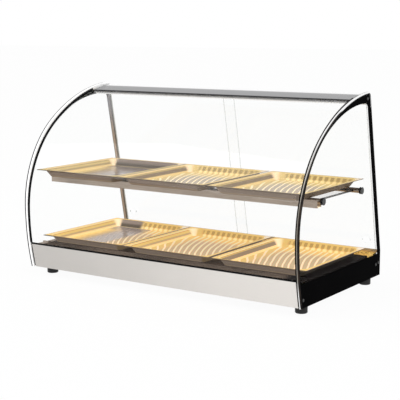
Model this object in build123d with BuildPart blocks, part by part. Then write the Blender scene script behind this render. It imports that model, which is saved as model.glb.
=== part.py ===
from build123d import *
from math import atan2, cos, degrees, hypot, radians, sin, sqrt
import os

# Heated display case with a curved front glass, two sliding rear doors and two levels of trays.
# Millimetres. Origin under the middle of the case, on the surface that its feet stand on.
# +X is the right-hand side seen from the front, +Y runs from the front glass to the rear doors, +Z is up.

# Overall sizes
CASE_WIDTH = 826.0            # across the outer faces of the two side plates
CASE_DEPTH = 445.0            # from the foremost line of the arch to the upright rear face
CASE_HEIGHT = 478.0           # from the underside of the base to the crown, without the feet
FOOT_HEIGHT = 23.0

# Side outline
BASE_REAR_HEIGHT = 65.0       # height of the upright rear face, above which the rear leans forward
REAR_LEAN = 83.0              # how far the crown stands in front of the upright rear face
BULGE_HEIGHT = 158.0          # height at which the arch is foremost
FRONT_TUCK = 20.6             # how far the arch draws back from there to the bottom
CROWN_ANGLE = 3.0             # slope of the arch where it reaches the crown, in degrees
ARCH_FULLNESS = 0.9           # ratio of the upper to the lower tangent length of the arch
CROWN_RADIUS = 10.0

# Sheet, glass and trim
SHEET = 1.0
PANEL_SHEET = 1.2
SIDE_PLATE = 1.2
SIDE_GLASS = 4.0
FRONT_GLASS = 5.0
DOOR_GLASS = 4.0
TRIM_WIDTH = 10.0
TRIM_THICKNESS = 2.5
GASKET_WALL = 0.8
CLEARANCE = 0.3               # between parts that are assembled loose
EDGE_GAP = 0.2                # at the ends of strips, lenses and glasses
TOUCH_GAP = 0.1               # between faces that lie on each other
PLATE_FIT = 0.05              # from a side plate's edge to the trim round it
PANEL_INSET = 1.0             # front panel and top cover, inside the trim's outer face

GASKET_REACH = 1.0            # how far the glass gaskets show inside the trim
COVER_GASKET_LAP = 4.5
PANEL_FLANGE = 12.0           # front and rear panel, under the deck and on the pan
PAN_EAR_SETBACK = 10.0        # from the pan's ends to its wider middle
DECK_LIP = 10.0
DECK_LIP_MARGIN = 40.0

# Levels, measured from the underside of the base
FRONT_PANEL_HEIGHT = 63.6
DECK_HEIGHT = 61.0            # top of the deck that the lower trays stand on
SIDE_LIP_HEIGHT = 46.0        # upturned sides of the base pan
SIDE_GLASS_START = 48.0
PLATE_SHOULDER = 58.0         # solid lower part of the side plate
SILL_RISE = 5.6               # gasket over the deck, round the lower edge of the front glass
SILL_FLOOR = 2.0
SHELF_TUBE_HEIGHT = 236.0     # axis of the two shelf tubes

# Depths
LOWER_TRAY_SETBACK = 53.0     # back from the foremost line of the arch to the lower trays' rims
UPPER_TRAY_SETBACK = 33.0
FRONT_STOP_LAP = 5.0          # front stop behind the lower trays' front edge, under the rim
REAR_STOP_GAP = 10.0          # rear stop behind the lower trays' rear edge
SHELF_FRONT_TUBE_LAP = 89.0   # front tube's axis behind the upper trays' front edge
SHELF_REAR_TUBE_LAP = 29.0    # rear tube's axis in front of the upper trays' rear edge
LIGHT_RAIL_LEAD = 24.0        # light rail's front wall in front of the front tube's axis
COVER_LEAD = 81.0             # top cover's front edge in front of the crown's highest line
CROWN_LIGHT_GAP = 8.86        # from the crown light to the top rail

# Window in the side plate
WINDOW_FRONT_BAND = 5.0
WINDOW_REAR_BAND = 17.0
WINDOW_TOP_BAND = 25.0
WINDOW_CORNER = 15.0
WINDOW_CROWN_ANGLE = -2.0
WINDOW_FULLNESS = 0.62
WINDOW_FOOT_RADIUS = 4.0
WINDOW_CROWN_SETBACK = 14.0   # from the case's crown point to the window's
OUTLINE_MARGIN = 30.0         # how far an outline is drawn below the base before it is cut off
GUSSET_LEAD = 2.0             # gusset in front of the top rail
GUSSET_COVER = 3.0            # gusset's lower edge above the window's top line

# Corner blocks, doors and their tracks, measured inwards from the leaning rear face
BLOCK_WIDTH = 18.5
BLOCK_START = 20.0
TRACK_START = 3.4
TRACK_WALL = 1.2
TRACK_RIB = 1.7
GROOVE_GAP = 0.4              # each side of a door in its groove
DOOR_OVERLAP = 29.0
DOOR_SIDE_GAP = 1.3           # from a closed door to the side glass, filled by the bumper
DOOR_SEAT_GAP = 0.3
DOOR_RISE = 401.0
TRACK_TOP_START = 395.0
TRACK_TOP_DEPTH = 12.0
TRACK_WEB = 2.0
TRACK_LIP = 3.0
BUMPER_THICKNESS = 1.0
BUMPER_END_GAP = 0.5
PULL_BORE = 9.0
PULL_WALL = 2.0
PULL_FLANGE = 4.0
PULL_PROUD = 0.5
PULL_EDGE_DISTANCE = 24.0
PULL_RISE = 32.0

# Trays
TRAY_WIDTH = 265.0
TRAY_LENGTH = 325.0
TRAY_DEPTH = 20.0
TRAY_RIM = 8.5
TRAY_SHEET = 1.0
TRAY_DRAFT = 16.0             # how far each wall leans in over the tray's depth
TRAY_CORNER = 28.0
TRAY_RIM_CORNER = 3.0
TRAY_BOTTOM_FILLET = 6.0
TRAY_GAP = 1.5
TRAYS_PER_LEVEL = 3
TRAY_SHIFTS = (-4.0, -3.0, 4.0)   # each tray from its even place, left to right
RIM_CUT = 0.001               # how far the hollow's cut stands out of the rim
STOP_SHEET = 1.2
STOP_FOOT = 9.0
STOP_FRONT_HEIGHT = 4.0
STOP_REAR_HEIGHT = 8.0

# Shelf
TUBE_RADIUS = 6.5
TUBE_WALL = 1.5
SHELF_GLASS = 5.0
SHELF_GLASS_GRIP = 2.0        # how far the glass reaches past the tube's upright middle plane
SLOT_GAP = 0.3
SLOT_MARGIN = 2.0             # from the end plug to the slot
SLOT_END_GAP = 1.0            # from the glass to the slot's end
DISC_RADIUS = 8.7
DISC_THICKNESS = 1.0
PLUG_LENGTH = 14.0
SHELF_BOLT_RADIUS = 3.0
SHELF_BOLT_HEAD_RADIUS = 9.0
SHELF_BOLT_HEAD = 1.6
LIGHT_RAIL_HEIGHT = 18.7
LIGHT_RAIL_WALL = 1.5
LIGHT_RAIL_DEPTH = 21.0
LIGHT_RAIL_FOOT = 7.0
RAIL_END_GAP = 0.5
CRADLE_GAP = 0.1
CRADLE_REACH = 1.7            # how far the cradle passes the tube's middle plane, below it
CRADLE_TOP = 5.5              # height of the cradle over the tube's axis
LED_COUNT = 36
LED_SIZE = 5.0
LED_HEIGHT = 1.0
BOARD_THICKNESS = 1.5
BOARD_WIDTH = 9.0
BOARD_SETBACK = 1.5           # from the rail's front wall to the shelf board
BOARD_END_MARGIN = 15.0
LENS_THICKNESS = 1.5
LENS_LIP = 1.0
LENS_HOOK = 1.7
LENS_HOOK_HEIGHT = 2.5
CROWN_LIGHT_WIDTH = 22.0
CROWN_LIGHT_HEIGHT = 8.5
CROWN_LIGHT_TOP = 461.5       # above the underside of the base
TOP_RAIL_WIDTH = 22.5
TOP_RAIL_HEIGHT = 13.0
TOP_RAIL_TOP = 470.5
TOP_RAIL_WALL = 2.0
TOP_RAIL_REAR_WALL = 5.0      # thicker, for the screw at each end
COVER_REAR_LAP = 26.0

# Feet and fasteners
FOOT_RADIUS = 15.0
FOOT_X = 385.0
FOOT_FRONT_SETBACK = 70.0
FOOT_REAR_SETBACK = 29.0      # from the upright rear face
FOOT_SCREW_RADIUS = 2.5
FOOT_SCREW_HEAD_RADIUS = 4.8
FOOT_SCREW_HEAD = 3.0
FOOT_COUNTERBORE = 8.0
FOOT_CHAMFER = 1.5
HEAD_GAP = 0.5                # round a screw head in its counterbore
NUT_RADIUS = 4.6
NUT_HEIGHT = 4.0
SCREW_END = 1.0               # how far a foot screw stands out of its nut
SIDE_SCREW_RADIUS = 2.0
SIDE_SCREW_HEAD_RADIUS = 4.0
SIDE_SCREW_HEAD = 2.2
SCREW_HEAD_FILLET = 1.2
BOLT_HEAD_FILLET = 1.0
BOLT_END_GAP = 2.0            # from a shelf bolt's tip to the plug's end
TOP_SCREW_REACH = 8.0         # of the crown screws, into the top rail
SCREW_CLEARANCE = 0.15
FRONT_SCREW = (24.5, 20.0)    # behind the arch's foremost line, above the underside of the base
LIP_SCREW = (27.0, 32.0)      # in front of the upright rear face, above the underside of the base
REAR_SCREW = (12.0, 34.5)

# Heater
ELEMENT_RADIUS = 3.25
ELEMENT_HEIGHT = 38.0
ELEMENT_REACH_X = 335.0
ELEMENT_FRONT_SETBACK = 115.0
ELEMENT_REAR_SETBACK = 115.0  # from the upright rear face
ELEMENT_BEND = 30.0
ELEMENT_TAIL = 45.0
ELEMENT_TAIL_X = 30.0
CLIP_X = 240.0
CLIP_WIDTH = 8.0
CLIP_WALL = 1.2
CLIP_FOOT = 4.0               # half the length of a clip's foot
CLIP_GAP = 1.0                # round a clip's foot in the insulation
PAD_HALF_WIDTH = 355.0
PAD_THICKNESS = 14.0
PAD_FRONT_SETBACK = 80.0
PAD_REAR_SETBACK = 73.0       # from the upright rear face

# Controls on the rear panel, as seen from the front; heights above the underside of the base
CONTROL_HEIGHT = 32.0
KNOB_X = -340.0
KNOB_RADIUS = 17.0
KNOB_GRIP_RADIUS = 13.0
KNOB_SKIRT = 3.5
KNOB_HEIGHT = 16.0
KNOB_GAP = 1.0
KNOB_CAP = 4.0                # over the end of the knob's bore
KNOB_TAPER = 8.0
KNOB_CHAMFER = 1.0
KNOB_FLUTES = 12
KNOB_FLUTE_RADIUS = 2.0
KNOB_FLUTE_PITCH_RADIUS = 13.8
SHAFT_END_GAP = 1.0
SHAFT_RADIUS = 3.0
SHAFT_FIT = 0.05
SHAFT_REACH = 10.0            # of the shaft, into the thermostat
BUSH_WALL = 2.0
THERMOSTAT_SIZE = (34.0, 24.0, 34.0)
POWER_SWITCH_X = -270.0
LIGHT_SWITCH_X = -225.0
LAMP_X = -185.0
LAMP_RADIUS = 6.0
LAMP_FLANGE = 2.0
LAMP_FILLET = 1.2
LAMP_LENGTH = 20.0
SWITCH_WIDTH = 15.0
SWITCH_LENGTH = 30.0
SWITCH_BODY_DEPTH = 18.0
SWITCH_BEZEL = 1.6
SWITCH_LAP_SIDE = 1.0         # how far the bezel laps the panel
SWITCH_LAP_END = 2.0
SWITCH_CORNER = 2.0
ROCKER_WIDTH = 9.0
ROCKER_LENGTH = 19.0
ROCKER_TILT = 10.0
ROCKER_PIN_RADIUS = 1.2
ROCKER_PIN_REACH = 1.0
ROCKER_PIVOT_DEPTH = 1.5
ROCKER_WELL = 6.5
ROCKER_END_GAP = 0.5
ROCKER_TIP_GAP = 0.3
ROCKER_CROWN = 2.6            # height of the rocker's ends over its pivot
ROCKER_VALLEY = 1.4           # height of its middle
ROCKER_BELLY = 4.0            # depth below its pivot
ROCKER_UNDERCUT = 2.0
GLAND_X = 330.0
GLAND_BORE = 4.2
GLAND_THREAD_RADIUS = 8.0
GLAND_NUT_RADIUS = 12.0
GLAND_NUT_HEIGHT = 6.0
GLAND_CAP_HEIGHT = 9.0
GLAND_CAP_RADIUS = 9.5
GLAND_TAPER = 10.0
GLAND_THREAD = 14.0
GLAND_BACK_NUT = 5.0
TERMINAL_BLOCK_SIZE = (60.0, 22.0, 16.0)
TERMINAL_BLOCK_X = 250.0
DRIVER_SIZE = (110.0, 30.0, 22.0)
DRIVER_X = 130.0
BASE_BOX_SETBACK = 20.0       # of both boxes, behind the insulation
BASE_BOX_FILLET = 2.0
BULB_RADIUS = 3.0
BULB_LENGTH = 80.0
BULB_SETBACK = 60.0           # in front of the thermostat
BULB_OFFSET = 40.0            # beside the thermostat
CAPILLARY_RADIUS = 1.0
CAPILLARY_BEND = 6.0
CAPILLARY_RUN = 20.0
CAPILLARY_ENTRY = 1.0

# Places that follow from the sizes above
CONTROL_PROUD = KNOB_GAP + KNOB_HEIGHT
FRONT_Y = -(CASE_DEPTH + CONTROL_PROUD) / 2
REAR_Y = FRONT_Y + CASE_DEPTH
BASE_Z = FOOT_HEIGHT
CROWN_Z = BASE_Z + CASE_HEIGHT
CROWN_Y = REAR_Y - REAR_LEAN
LEAN_Z = BASE_Z + BASE_REAR_HEIGHT
LEAN = atan2(REAR_LEAN, CROWN_Z - LEAN_Z)
LEAN_LENGTH = hypot(REAR_LEAN, CROWN_Z - LEAN_Z)
LOWER_RADIUS = (BULGE_HEIGHT**2 + FRONT_TUCK**2) / (2 * FRONT_TUCK)
DECK_Z = BASE_Z + DECK_HEIGHT

HALF_WIDTH = CASE_WIDTH / 2
PLATE_X = HALF_WIDTH - SIDE_PLATE          # inner face of the side plate
GLASS_X = PLATE_X - SIDE_GLASS             # inner face of the side glass
TRIM_X = HALF_WIDTH - TRIM_WIDTH           # inner edge of the trim
INSIDE_X = GLASS_X - CLEARANCE             # what stands between the side glasses
PANEL_X = TRIM_X - CLEARANCE               # what stands between the trims

FRONT_GLASS_INSET = TRIM_THICKNESS + GASKET_WALL + 2 * TOUCH_GAP
FRONT_GLASS_BACK = FRONT_GLASS_INSET + FRONT_GLASS
GASKET_INSET = TRIM_THICKNESS + TOUCH_GAP
GASKET_BACK = FRONT_GLASS_BACK + TOUCH_GAP + GASKET_WALL
SIDE_INSET = TRIM_THICKNESS + CLEARANCE
GLASS_FOOT_Z = DECK_Z + SILL_FLOOR

OUTER_DOOR_DEPTH = TRACK_START + TRACK_WALL + GROOVE_GAP
DOOR_PITCH = DOOR_GLASS + 2 * GROOVE_GAP + TRACK_RIB
INNER_DOOR_DEPTH = OUTER_DOOR_DEPTH + DOOR_PITCH
TRACK_END = INNER_DOOR_DEPTH + DOOR_GLASS + GROOVE_GAP + TRACK_WALL
DOOR_LIMIT_X = GLASS_X - DOOR_SIDE_GAP
DOOR_WIDTH = (2 * DOOR_LIMIT_X + DOOR_OVERLAP) / 2

SHELF_TUBE_Z = BASE_Z + SHELF_TUBE_HEIGHT
UPPER_TRAY_Y = FRONT_Y + UPPER_TRAY_SETBACK
LOWER_TRAY_Y = FRONT_Y + LOWER_TRAY_SETBACK
SHELF_FRONT_Y = UPPER_TRAY_Y + SHELF_FRONT_TUBE_LAP
SHELF_REAR_Y = UPPER_TRAY_Y + TRAY_LENGTH - SHELF_REAR_TUBE_LAP
TUBE_END_X = GLASS_X - DISC_THICKNESS
UPPER_TRAY_Z = SHELF_TUBE_Z + TUBE_RADIUS
RAIL_BOTTOM_Z = SHELF_TUBE_Z + CRADLE_TOP - LIGHT_RAIL_HEIGHT
RAIL_TOP_Z = RAIL_BOTTOM_Z + LIGHT_RAIL_HEIGHT
RAIL_Y = SHELF_FRONT_Y - LIGHT_RAIL_LEAD
CONTROL_Z = BASE_Z + CONTROL_HEIGHT
ELEMENT_Z = BASE_Z + ELEMENT_HEIGHT
PAN_TOP_Z = BASE_Z + SHEET
SWITCH_CUT_WIDTH = SWITCH_WIDTH - 2 * SWITCH_LAP_SIDE
SWITCH_CUT_LENGTH = SWITCH_LENGTH - 2 * SWITCH_LAP_END

REAR_PLANE = Plane(origin=(0, REAR_Y, LEAN_Z), x_dir=(1, 0, 0), z_dir=(0, -cos(LEAN), -sin(LEAN)))
FAR = 2000.0                               # larger than the case, for cutting regions


def shoulder_point(bulge, crown, crown_angle, fullness):
    """Meeting point of the two arcs that run from an upright bulge to a sloping crown."""
    up = Vector(0, 1)
    along = Vector(cos(radians(crown_angle)), sin(radians(crown_angle)))
    chord = Vector(*crown) - Vector(*bulge)
    squared = 2 * fullness * (up.dot(along) - 1)
    linear = -2 * (chord.dot(up) + fullness * chord.dot(along))
    reach = (-linear - sqrt(linear**2 - 4 * squared * chord.dot(chord))) / (2 * squared)
    lower = Vector(*bulge) + up * abs(reach)
    upper = Vector(*crown) - along * (fullness * abs(reach))
    return lower + (upper - lower) * (1 / (1 + fullness))


def arch_y(z, inset=0.0):
    """Y of the arch at a height below the bulge, moved inwards by inset."""
    radius = LOWER_RADIUS - inset
    return FRONT_Y + LOWER_RADIUS - sqrt(radius**2 - (BASE_Z + BULGE_HEIGHT - z) ** 2)


def lean_point(depth, rise):
    """Y and Z of a point at a depth behind the leaning rear face and a rise along it."""
    y = REAR_Y - depth * cos(LEAN) - rise * sin(LEAN)
    return (y, LEAN_Z - depth * sin(LEAN) + rise * cos(LEAN))


def lean_rise(depth, z):
    """Rise along the leaning rear face at which a given depth meets a height."""
    return (z - LEAN_Z + depth * sin(LEAN)) / cos(LEAN)


# Top rail, just in front of the upper door track
TRACK_TOP_END = TRACK_TOP_START + TRACK_TOP_DEPTH + TRACK_WEB
RAIL_REAR_Y = lean_point(TRACK_END, TRACK_TOP_END)[0] - CLEARANCE
RAIL_FRONT_Y = RAIL_REAR_Y - TOP_RAIL_WIDTH
TOP_RAIL_Z = BASE_Z + TOP_RAIL_TOP


def region(y_low, y_high, z_low, z_high, mode=Mode.ADD):
    """Rectangle between two depths and two heights, in a side view sketch."""
    with Locations(((y_low + y_high) / 2, (z_low + z_high) / 2)):
        Rectangle(y_high - y_low, z_high - z_low, mode=mode)


def lean_strip(depth_low, depth_high, rise_low, rise_high, mode=Mode.ADD):
    """Rectangle that leans with the rear face, in a side view sketch."""
    corners = [
        lean_point(depth_low, rise_low),
        lean_point(depth_high, rise_low),
        lean_point(depth_high, rise_high),
        lean_point(depth_low, rise_high),
    ]
    Polygon(*corners, align=None, mode=mode)


def arch_wire(front_inset, crown, crown_angle, fullness, rear, foot_z):
    """Closed side outline: arch, crown and rear edge, down to foot_z."""
    bulge = (FRONT_Y + front_inset, BASE_Z + BULGE_HEIGHT)
    shoulder = shoulder_point(bulge, crown, crown_angle, fullness)
    foot = (arch_y(foot_z, front_inset), foot_z)
    middle = TangentArc(bulge, (shoulder.X, shoulder.Y), tangent=(0, 1))
    TangentArc((shoulder.X, shoulder.Y), crown, tangent=middle % 1)
    Polyline(crown, *rear, foot)
    TangentArc(bulge, foot, tangent=(0, -1))


def case_face(inset):
    """Side outline of the case, moved inwards by inset, cut off level with the base."""
    with BuildSketch(mode=Mode.PRIVATE) as face:
        below = BASE_Z - OUTLINE_MARGIN
        with BuildLine():
            rear = [(REAR_Y, LEAN_Z), (REAR_Y, below)]
            arch_wire(0, (CROWN_Y, CROWN_Z), CROWN_ANGLE, ARCH_FULLNESS, rear, below)
        make_face()
        fillet(face.vertices().sort_by(Axis.Y)[-1], radius=CROWN_RADIUS)
        if inset:
            offset(amount=-inset, kind=Kind.INTERSECTION)
        region(-FAR, FAR, BASE_Z, FAR, mode=Mode.INTERSECT)
    return face.sketch


def window_face():
    """Opening of the side plate, over its solid lower part."""
    with BuildSketch(mode=Mode.PRIVATE) as face:
        crown = (CROWN_Y - WINDOW_CROWN_SETBACK, CROWN_Z - WINDOW_TOP_BAND)
        low = BASE_Z + PLATE_SHOULDER
        with BuildLine():
            rear = [lean_point(WINDOW_REAR_BAND, lean_rise(WINDOW_REAR_BAND, low))]
            arch_wire(WINDOW_FRONT_BAND, crown, WINDOW_CROWN_ANGLE, WINDOW_FULLNESS, rear, low)
        make_face()
        lean_strip(WINDOW_REAR_BAND, FAR, -FAR, FAR, mode=Mode.INTERSECT)
        fillet(face.vertices().group_by(Axis.Y)[-1].sort_by(Axis.X)[-1], radius=WINDOW_CORNER)
        fillet(face.vertices().group_by(Axis.Y)[0], radius=WINDOW_FOOT_RADIUS)
    return face.sketch


def case_band(outer, inner):
    """Strip between two insets of the side outline."""
    add(case_face(outer))
    add(case_face(inner), mode=Mode.SUBTRACT)


def side_screw_points():
    """Y and Z of the screws through one side plate: into the top rail, the pan and the corner block."""
    return [
        (RAIL_REAR_Y - TOP_RAIL_REAR_WALL / 2, TOP_RAIL_Z - TOP_RAIL_HEIGHT / 2),
        (FRONT_Y + FRONT_SCREW[0], BASE_Z + FRONT_SCREW[1]),
        (REAR_Y - LIP_SCREW[0], BASE_Z + LIP_SCREW[1]),
        (REAR_Y - REAR_SCREW[0], BASE_Z + REAR_SCREW[1]),
    ]


def shelf_bolt_points():
    """Y and Z of the two shelf bolts through one side glass."""
    return [(SHELF_FRONT_Y, SHELF_TUBE_Z), (SHELF_REAR_Y, SHELF_TUBE_Z)]


def mirrored(piece):
    """The same piece for the left-hand side."""
    with BuildPart() as other:
        mirror(piece.part, about=Plane.YZ)
    return other


# Insets of the outline that several pieces share
FACE_SIDE = case_face(SIDE_INSET)
FOOT_POINTS = [
    (side * FOOT_X, foot_y)
    for side in (-1, 1)
    for foot_y in (FRONT_Y + FOOT_FRONT_SETBACK, REAR_Y - FOOT_REAR_SETBACK)
]

# Base pan: flat bottom with two upturned sides
PAN_FRONT_Y = arch_y(BASE_Z, PANEL_INSET + PANEL_SHEET + CLEARANCE)
PAN_REAR_Y = REAR_Y - PANEL_SHEET - CLEARANCE
with BuildPart() as base_pan:
    with BuildSketch(Plane.XY.offset(BASE_Z)):
        with Locations((0, (PAN_FRONT_Y + PAN_REAR_Y) / 2)):
            Rectangle(2 * PANEL_X, PAN_REAR_Y - PAN_FRONT_Y)
        with Locations((0, (PAN_FRONT_Y + PAN_REAR_Y) / 2)):
            Rectangle(2 * PLATE_X, PAN_REAR_Y - PAN_FRONT_Y - 2 * PAN_EAR_SETBACK)
    extrude(amount=SHEET)
    for lip_x in (-PLATE_X, PLATE_X - SHEET):
        with BuildSketch(Plane.YZ.offset(lip_x)):
            add(FACE_SIDE)
            lip_end_y = REAR_Y - BLOCK_WIDTH - CLEARANCE
            region(-FAR, lip_end_y, BASE_Z, BASE_Z + SIDE_LIP_HEIGHT, Mode.INTERSECT)
        extrude(amount=SHEET)
    with Locations(*[(x, y, BASE_Z) for x, y in FOOT_POINTS]):
        Hole(FOOT_SCREW_RADIUS + SCREW_CLEARANCE)
    with BuildSketch(Plane.YZ):
        with Locations(side_screw_points()[1], side_screw_points()[2]):
            Circle(SIDE_SCREW_RADIUS + SCREW_CLEARANCE)
    extrude(amount=HALF_WIDTH, both=True, mode=Mode.SUBTRACT)

# Rubber feet, each with a screw up through its middle and a nut on the pan
with BuildPart() as feet:
    with BuildSketch():
        with Locations(*FOOT_POINTS):
            Circle(FOOT_RADIUS)
    extrude(amount=FOOT_HEIGHT)
    chamfer(feet.edges().group_by(Axis.Z)[0], length=FOOT_CHAMFER)
    with Locations(*[Location((x, y, 0), (180, 0, 0)) for x, y in FOOT_POINTS]):
        CounterBoreHole(
            radius=FOOT_SCREW_RADIUS + SCREW_CLEARANCE,
            counter_bore_radius=FOOT_SCREW_HEAD_RADIUS + HEAD_GAP,
            counter_bore_depth=FOOT_COUNTERBORE,
        )

NUT_TOP_Z = PAN_TOP_Z + NUT_HEIGHT
with BuildPart() as foot_screws:
    with BuildSketch(Plane.XY.offset(FOOT_COUNTERBORE - FOOT_SCREW_HEAD)):
        with Locations(*FOOT_POINTS):
            Circle(FOOT_SCREW_HEAD_RADIUS)
    extrude(amount=FOOT_SCREW_HEAD)
    with BuildSketch(Plane.XY.offset(FOOT_COUNTERBORE)):
        with Locations(*FOOT_POINTS):
            Circle(FOOT_SCREW_RADIUS)
    extrude(amount=NUT_TOP_Z + SCREW_END - FOOT_COUNTERBORE)

with BuildPart() as foot_nuts:
    with BuildSketch(Plane.XY.offset(PAN_TOP_Z)):
        with Locations(*FOOT_POINTS):
            RegularPolygon(NUT_RADIUS, side_count=6)
            Circle(FOOT_SCREW_RADIUS + SHAFT_FIT, mode=Mode.SUBTRACT)
    extrude(amount=NUT_HEIGHT)

# Front panel: flat sheet in front of the base, with a flange under the deck and one on the pan
PANEL_TOP_Z = BASE_Z + FRONT_PANEL_HEIGHT
PANEL_FLANGE_Z = DECK_Z - SHEET
PANEL_LOW_Y = arch_y(BASE_Z, PANEL_INSET)
PANEL_HIGH_Y = arch_y(PANEL_TOP_Z, PANEL_INSET)
with BuildPart() as front_panel:
    with BuildSketch(Plane.YZ):
        Polygon(
            (PANEL_LOW_Y, BASE_Z),
            (PANEL_LOW_Y + PANEL_SHEET, BASE_Z),
            (PANEL_HIGH_Y + PANEL_SHEET, PANEL_TOP_Z),
            (PANEL_HIGH_Y, PANEL_TOP_Z),
            align=None,
        )
        region(PANEL_LOW_Y + PANEL_SHEET / 2, PANEL_LOW_Y + PANEL_FLANGE, PAN_TOP_Z, PAN_TOP_Z + PANEL_SHEET)
        upper_y = arch_y(PANEL_FLANGE_Z, PANEL_INSET + PANEL_SHEET)
        region(upper_y, upper_y + PANEL_FLANGE, PANEL_FLANGE_Z - PANEL_SHEET, PANEL_FLANGE_Z)
    extrude(amount=PANEL_X, both=True)

# Rear panel: upright sheet with the controls, and flanges like the front panel's
PANEL_BACK_Y = REAR_Y - PANEL_SHEET
CONTROL_PLANE = Plane(origin=(0, REAR_Y, CONTROL_Z), x_dir=(-1, 0, 0), z_dir=(0, 1, 0))
with BuildPart() as rear_panel:
    with BuildSketch(Plane.YZ):
        region(PANEL_BACK_Y, REAR_Y, BASE_Z, BASE_Z + BASE_REAR_HEIGHT - 1)
        region(PANEL_BACK_Y - PANEL_FLANGE, PANEL_BACK_Y, PAN_TOP_Z, PAN_TOP_Z + PANEL_SHEET)
        region(PANEL_BACK_Y - PANEL_FLANGE, PANEL_BACK_Y, PANEL_FLANGE_Z - PANEL_SHEET, PANEL_FLANGE_Z)
    extrude(amount=PANEL_X, both=True)
    with BuildSketch(CONTROL_PLANE):
        with Locations((-KNOB_X, 0)):
            Circle(SHAFT_RADIUS + BUSH_WALL + SCREW_CLEARANCE)
        with Locations((-POWER_SWITCH_X, 0), (-LIGHT_SWITCH_X, 0)):
            Rectangle(SWITCH_CUT_WIDTH, SWITCH_CUT_LENGTH)
        with Locations((-LAMP_X, 0)):
            Circle(LAMP_RADIUS + SCREW_CLEARANCE)
        with Locations((-GLAND_X, 0)):
            Circle(GLAND_THREAD_RADIUS + SCREW_CLEARANCE)
    extrude(amount=-2 * PANEL_SHEET, mode=Mode.SUBTRACT)

# Deck: floor of the heated space, with turned-down sides
DECK_FRONT_Y = arch_y(DECK_Z, GASKET_INSET + EDGE_GAP)
DECK_REAR_Y = REAR_Y - TRIM_THICKNESS - EDGE_GAP
with BuildPart() as deck_plate:
    with BuildSketch(Plane.XY.offset(DECK_Z - SHEET)):
        with Locations((0, (DECK_FRONT_Y + DECK_REAR_Y) / 2)):
            Rectangle(2 * INSIDE_X, DECK_REAR_Y - DECK_FRONT_Y)
    extrude(amount=SHEET)
    with BuildSketch(Plane.XY.offset(DECK_Z - SHEET)):
        with Locations((-INSIDE_X + SHEET / 2, 0), (INSIDE_X - SHEET / 2, 0)):
            Rectangle(SHEET, CASE_DEPTH - 2 * DECK_LIP_MARGIN)
    extrude(amount=-DECK_LIP)

# Two low angles on the deck that keep the lower trays in place
FRONT_STOP_Y = LOWER_TRAY_Y + FRONT_STOP_LAP
REAR_STOP_Y = LOWER_TRAY_Y + TRAY_LENGTH + REAR_STOP_GAP
with BuildPart() as tray_stops:
    with BuildSketch(Plane.YZ):
        region(FRONT_STOP_Y, FRONT_STOP_Y + STOP_SHEET, DECK_Z, DECK_Z + STOP_FRONT_HEIGHT)
        region(FRONT_STOP_Y, FRONT_STOP_Y + STOP_FOOT, DECK_Z, DECK_Z + STOP_SHEET)
        region(REAR_STOP_Y, REAR_STOP_Y + STOP_SHEET, DECK_Z, DECK_Z + STOP_REAR_HEIGHT)
        region(REAR_STOP_Y, REAR_STOP_Y + STOP_FOOT, DECK_Z, DECK_Z + STOP_SHEET)
    extrude(amount=INSIDE_X, both=True)

# Side plates, black outside, with the window that the side glass shows through
with BuildPart() as side_plate_right:
    with BuildSketch(Plane.YZ.offset(PLATE_X)):
        add(case_face(TRIM_THICKNESS + PLATE_FIT))
        add(window_face(), mode=Mode.SUBTRACT)
        with Locations(*side_screw_points()):
            Circle(SIDE_SCREW_RADIUS + SCREW_CLEARANCE, mode=Mode.SUBTRACT)
    extrude(amount=SIDE_PLATE)
side_plate_left = mirrored(side_plate_right)

# Blocks in the glass's layer, under the glass at the rear corners
GLASS_LOW_Z = BASE_Z + SIDE_GLASS_START
with BuildPart() as corner_block_right:
    with BuildSketch(Plane.YZ.offset(GLASS_X)):
        region(REAR_Y - BLOCK_WIDTH, REAR_Y, BASE_Z + BLOCK_START, GLASS_LOW_Z - CLEARANCE)
        add(FACE_SIDE, mode=Mode.INTERSECT)
        with Locations(*side_screw_points()):
            Circle(SIDE_SCREW_RADIUS + SCREW_CLEARANCE, mode=Mode.SUBTRACT)
    extrude(amount=SIDE_GLASS)
corner_block_left = mirrored(corner_block_right)

# Side glasses, notched at the crown for the top rail's gussets
GUSSET_FRONT_Y = RAIL_FRONT_Y - GUSSET_LEAD
GUSSET_LOW_Z = CROWN_Z - WINDOW_TOP_BAND + GUSSET_COVER
with BuildPart() as side_glass_right:
    with BuildSketch(Plane.YZ.offset(GLASS_X)):
        add(FACE_SIDE)
        region(-FAR, FAR, GLASS_LOW_Z, FAR, mode=Mode.INTERSECT)
        region(GUSSET_FRONT_Y - CLEARANCE, FAR, GUSSET_LOW_Z - CLEARANCE, FAR, mode=Mode.SUBTRACT)
        with Locations(*shelf_bolt_points()):
            Circle(SHELF_BOLT_RADIUS + SCREW_CLEARANCE, mode=Mode.SUBTRACT)
    extrude(amount=SIDE_GLASS)
side_glass_left = mirrored(side_glass_right)

# Polished trim round each side, from the base over the crown and down the rear
with BuildPart() as edge_trim_right:
    with BuildSketch(Plane.YZ.offset(TRIM_X)):
        case_band(0, TRIM_THICKNESS)
    extrude(amount=TRIM_WIDTH)
edge_trim_left = mirrored(edge_trim_right)

# Curved front glass with its sill and side gaskets
COVER_Y = CROWN_Y - COVER_LEAD
COVER_GAP = GASKET_WALL + 2 * TOUCH_GAP
FRONT_GLASS_X = INSIDE_X - EDGE_GAP
SILL_TOP_Z = DECK_Z + SILL_RISE
with BuildPart() as front_glass:
    with BuildSketch(Plane.YZ):
        case_band(FRONT_GLASS_INSET, FRONT_GLASS_BACK)
        region(-FAR, COVER_Y - COVER_GAP, GLASS_FOOT_Z, FAR, mode=Mode.INTERSECT)
    extrude(amount=FRONT_GLASS_X, both=True)

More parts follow.
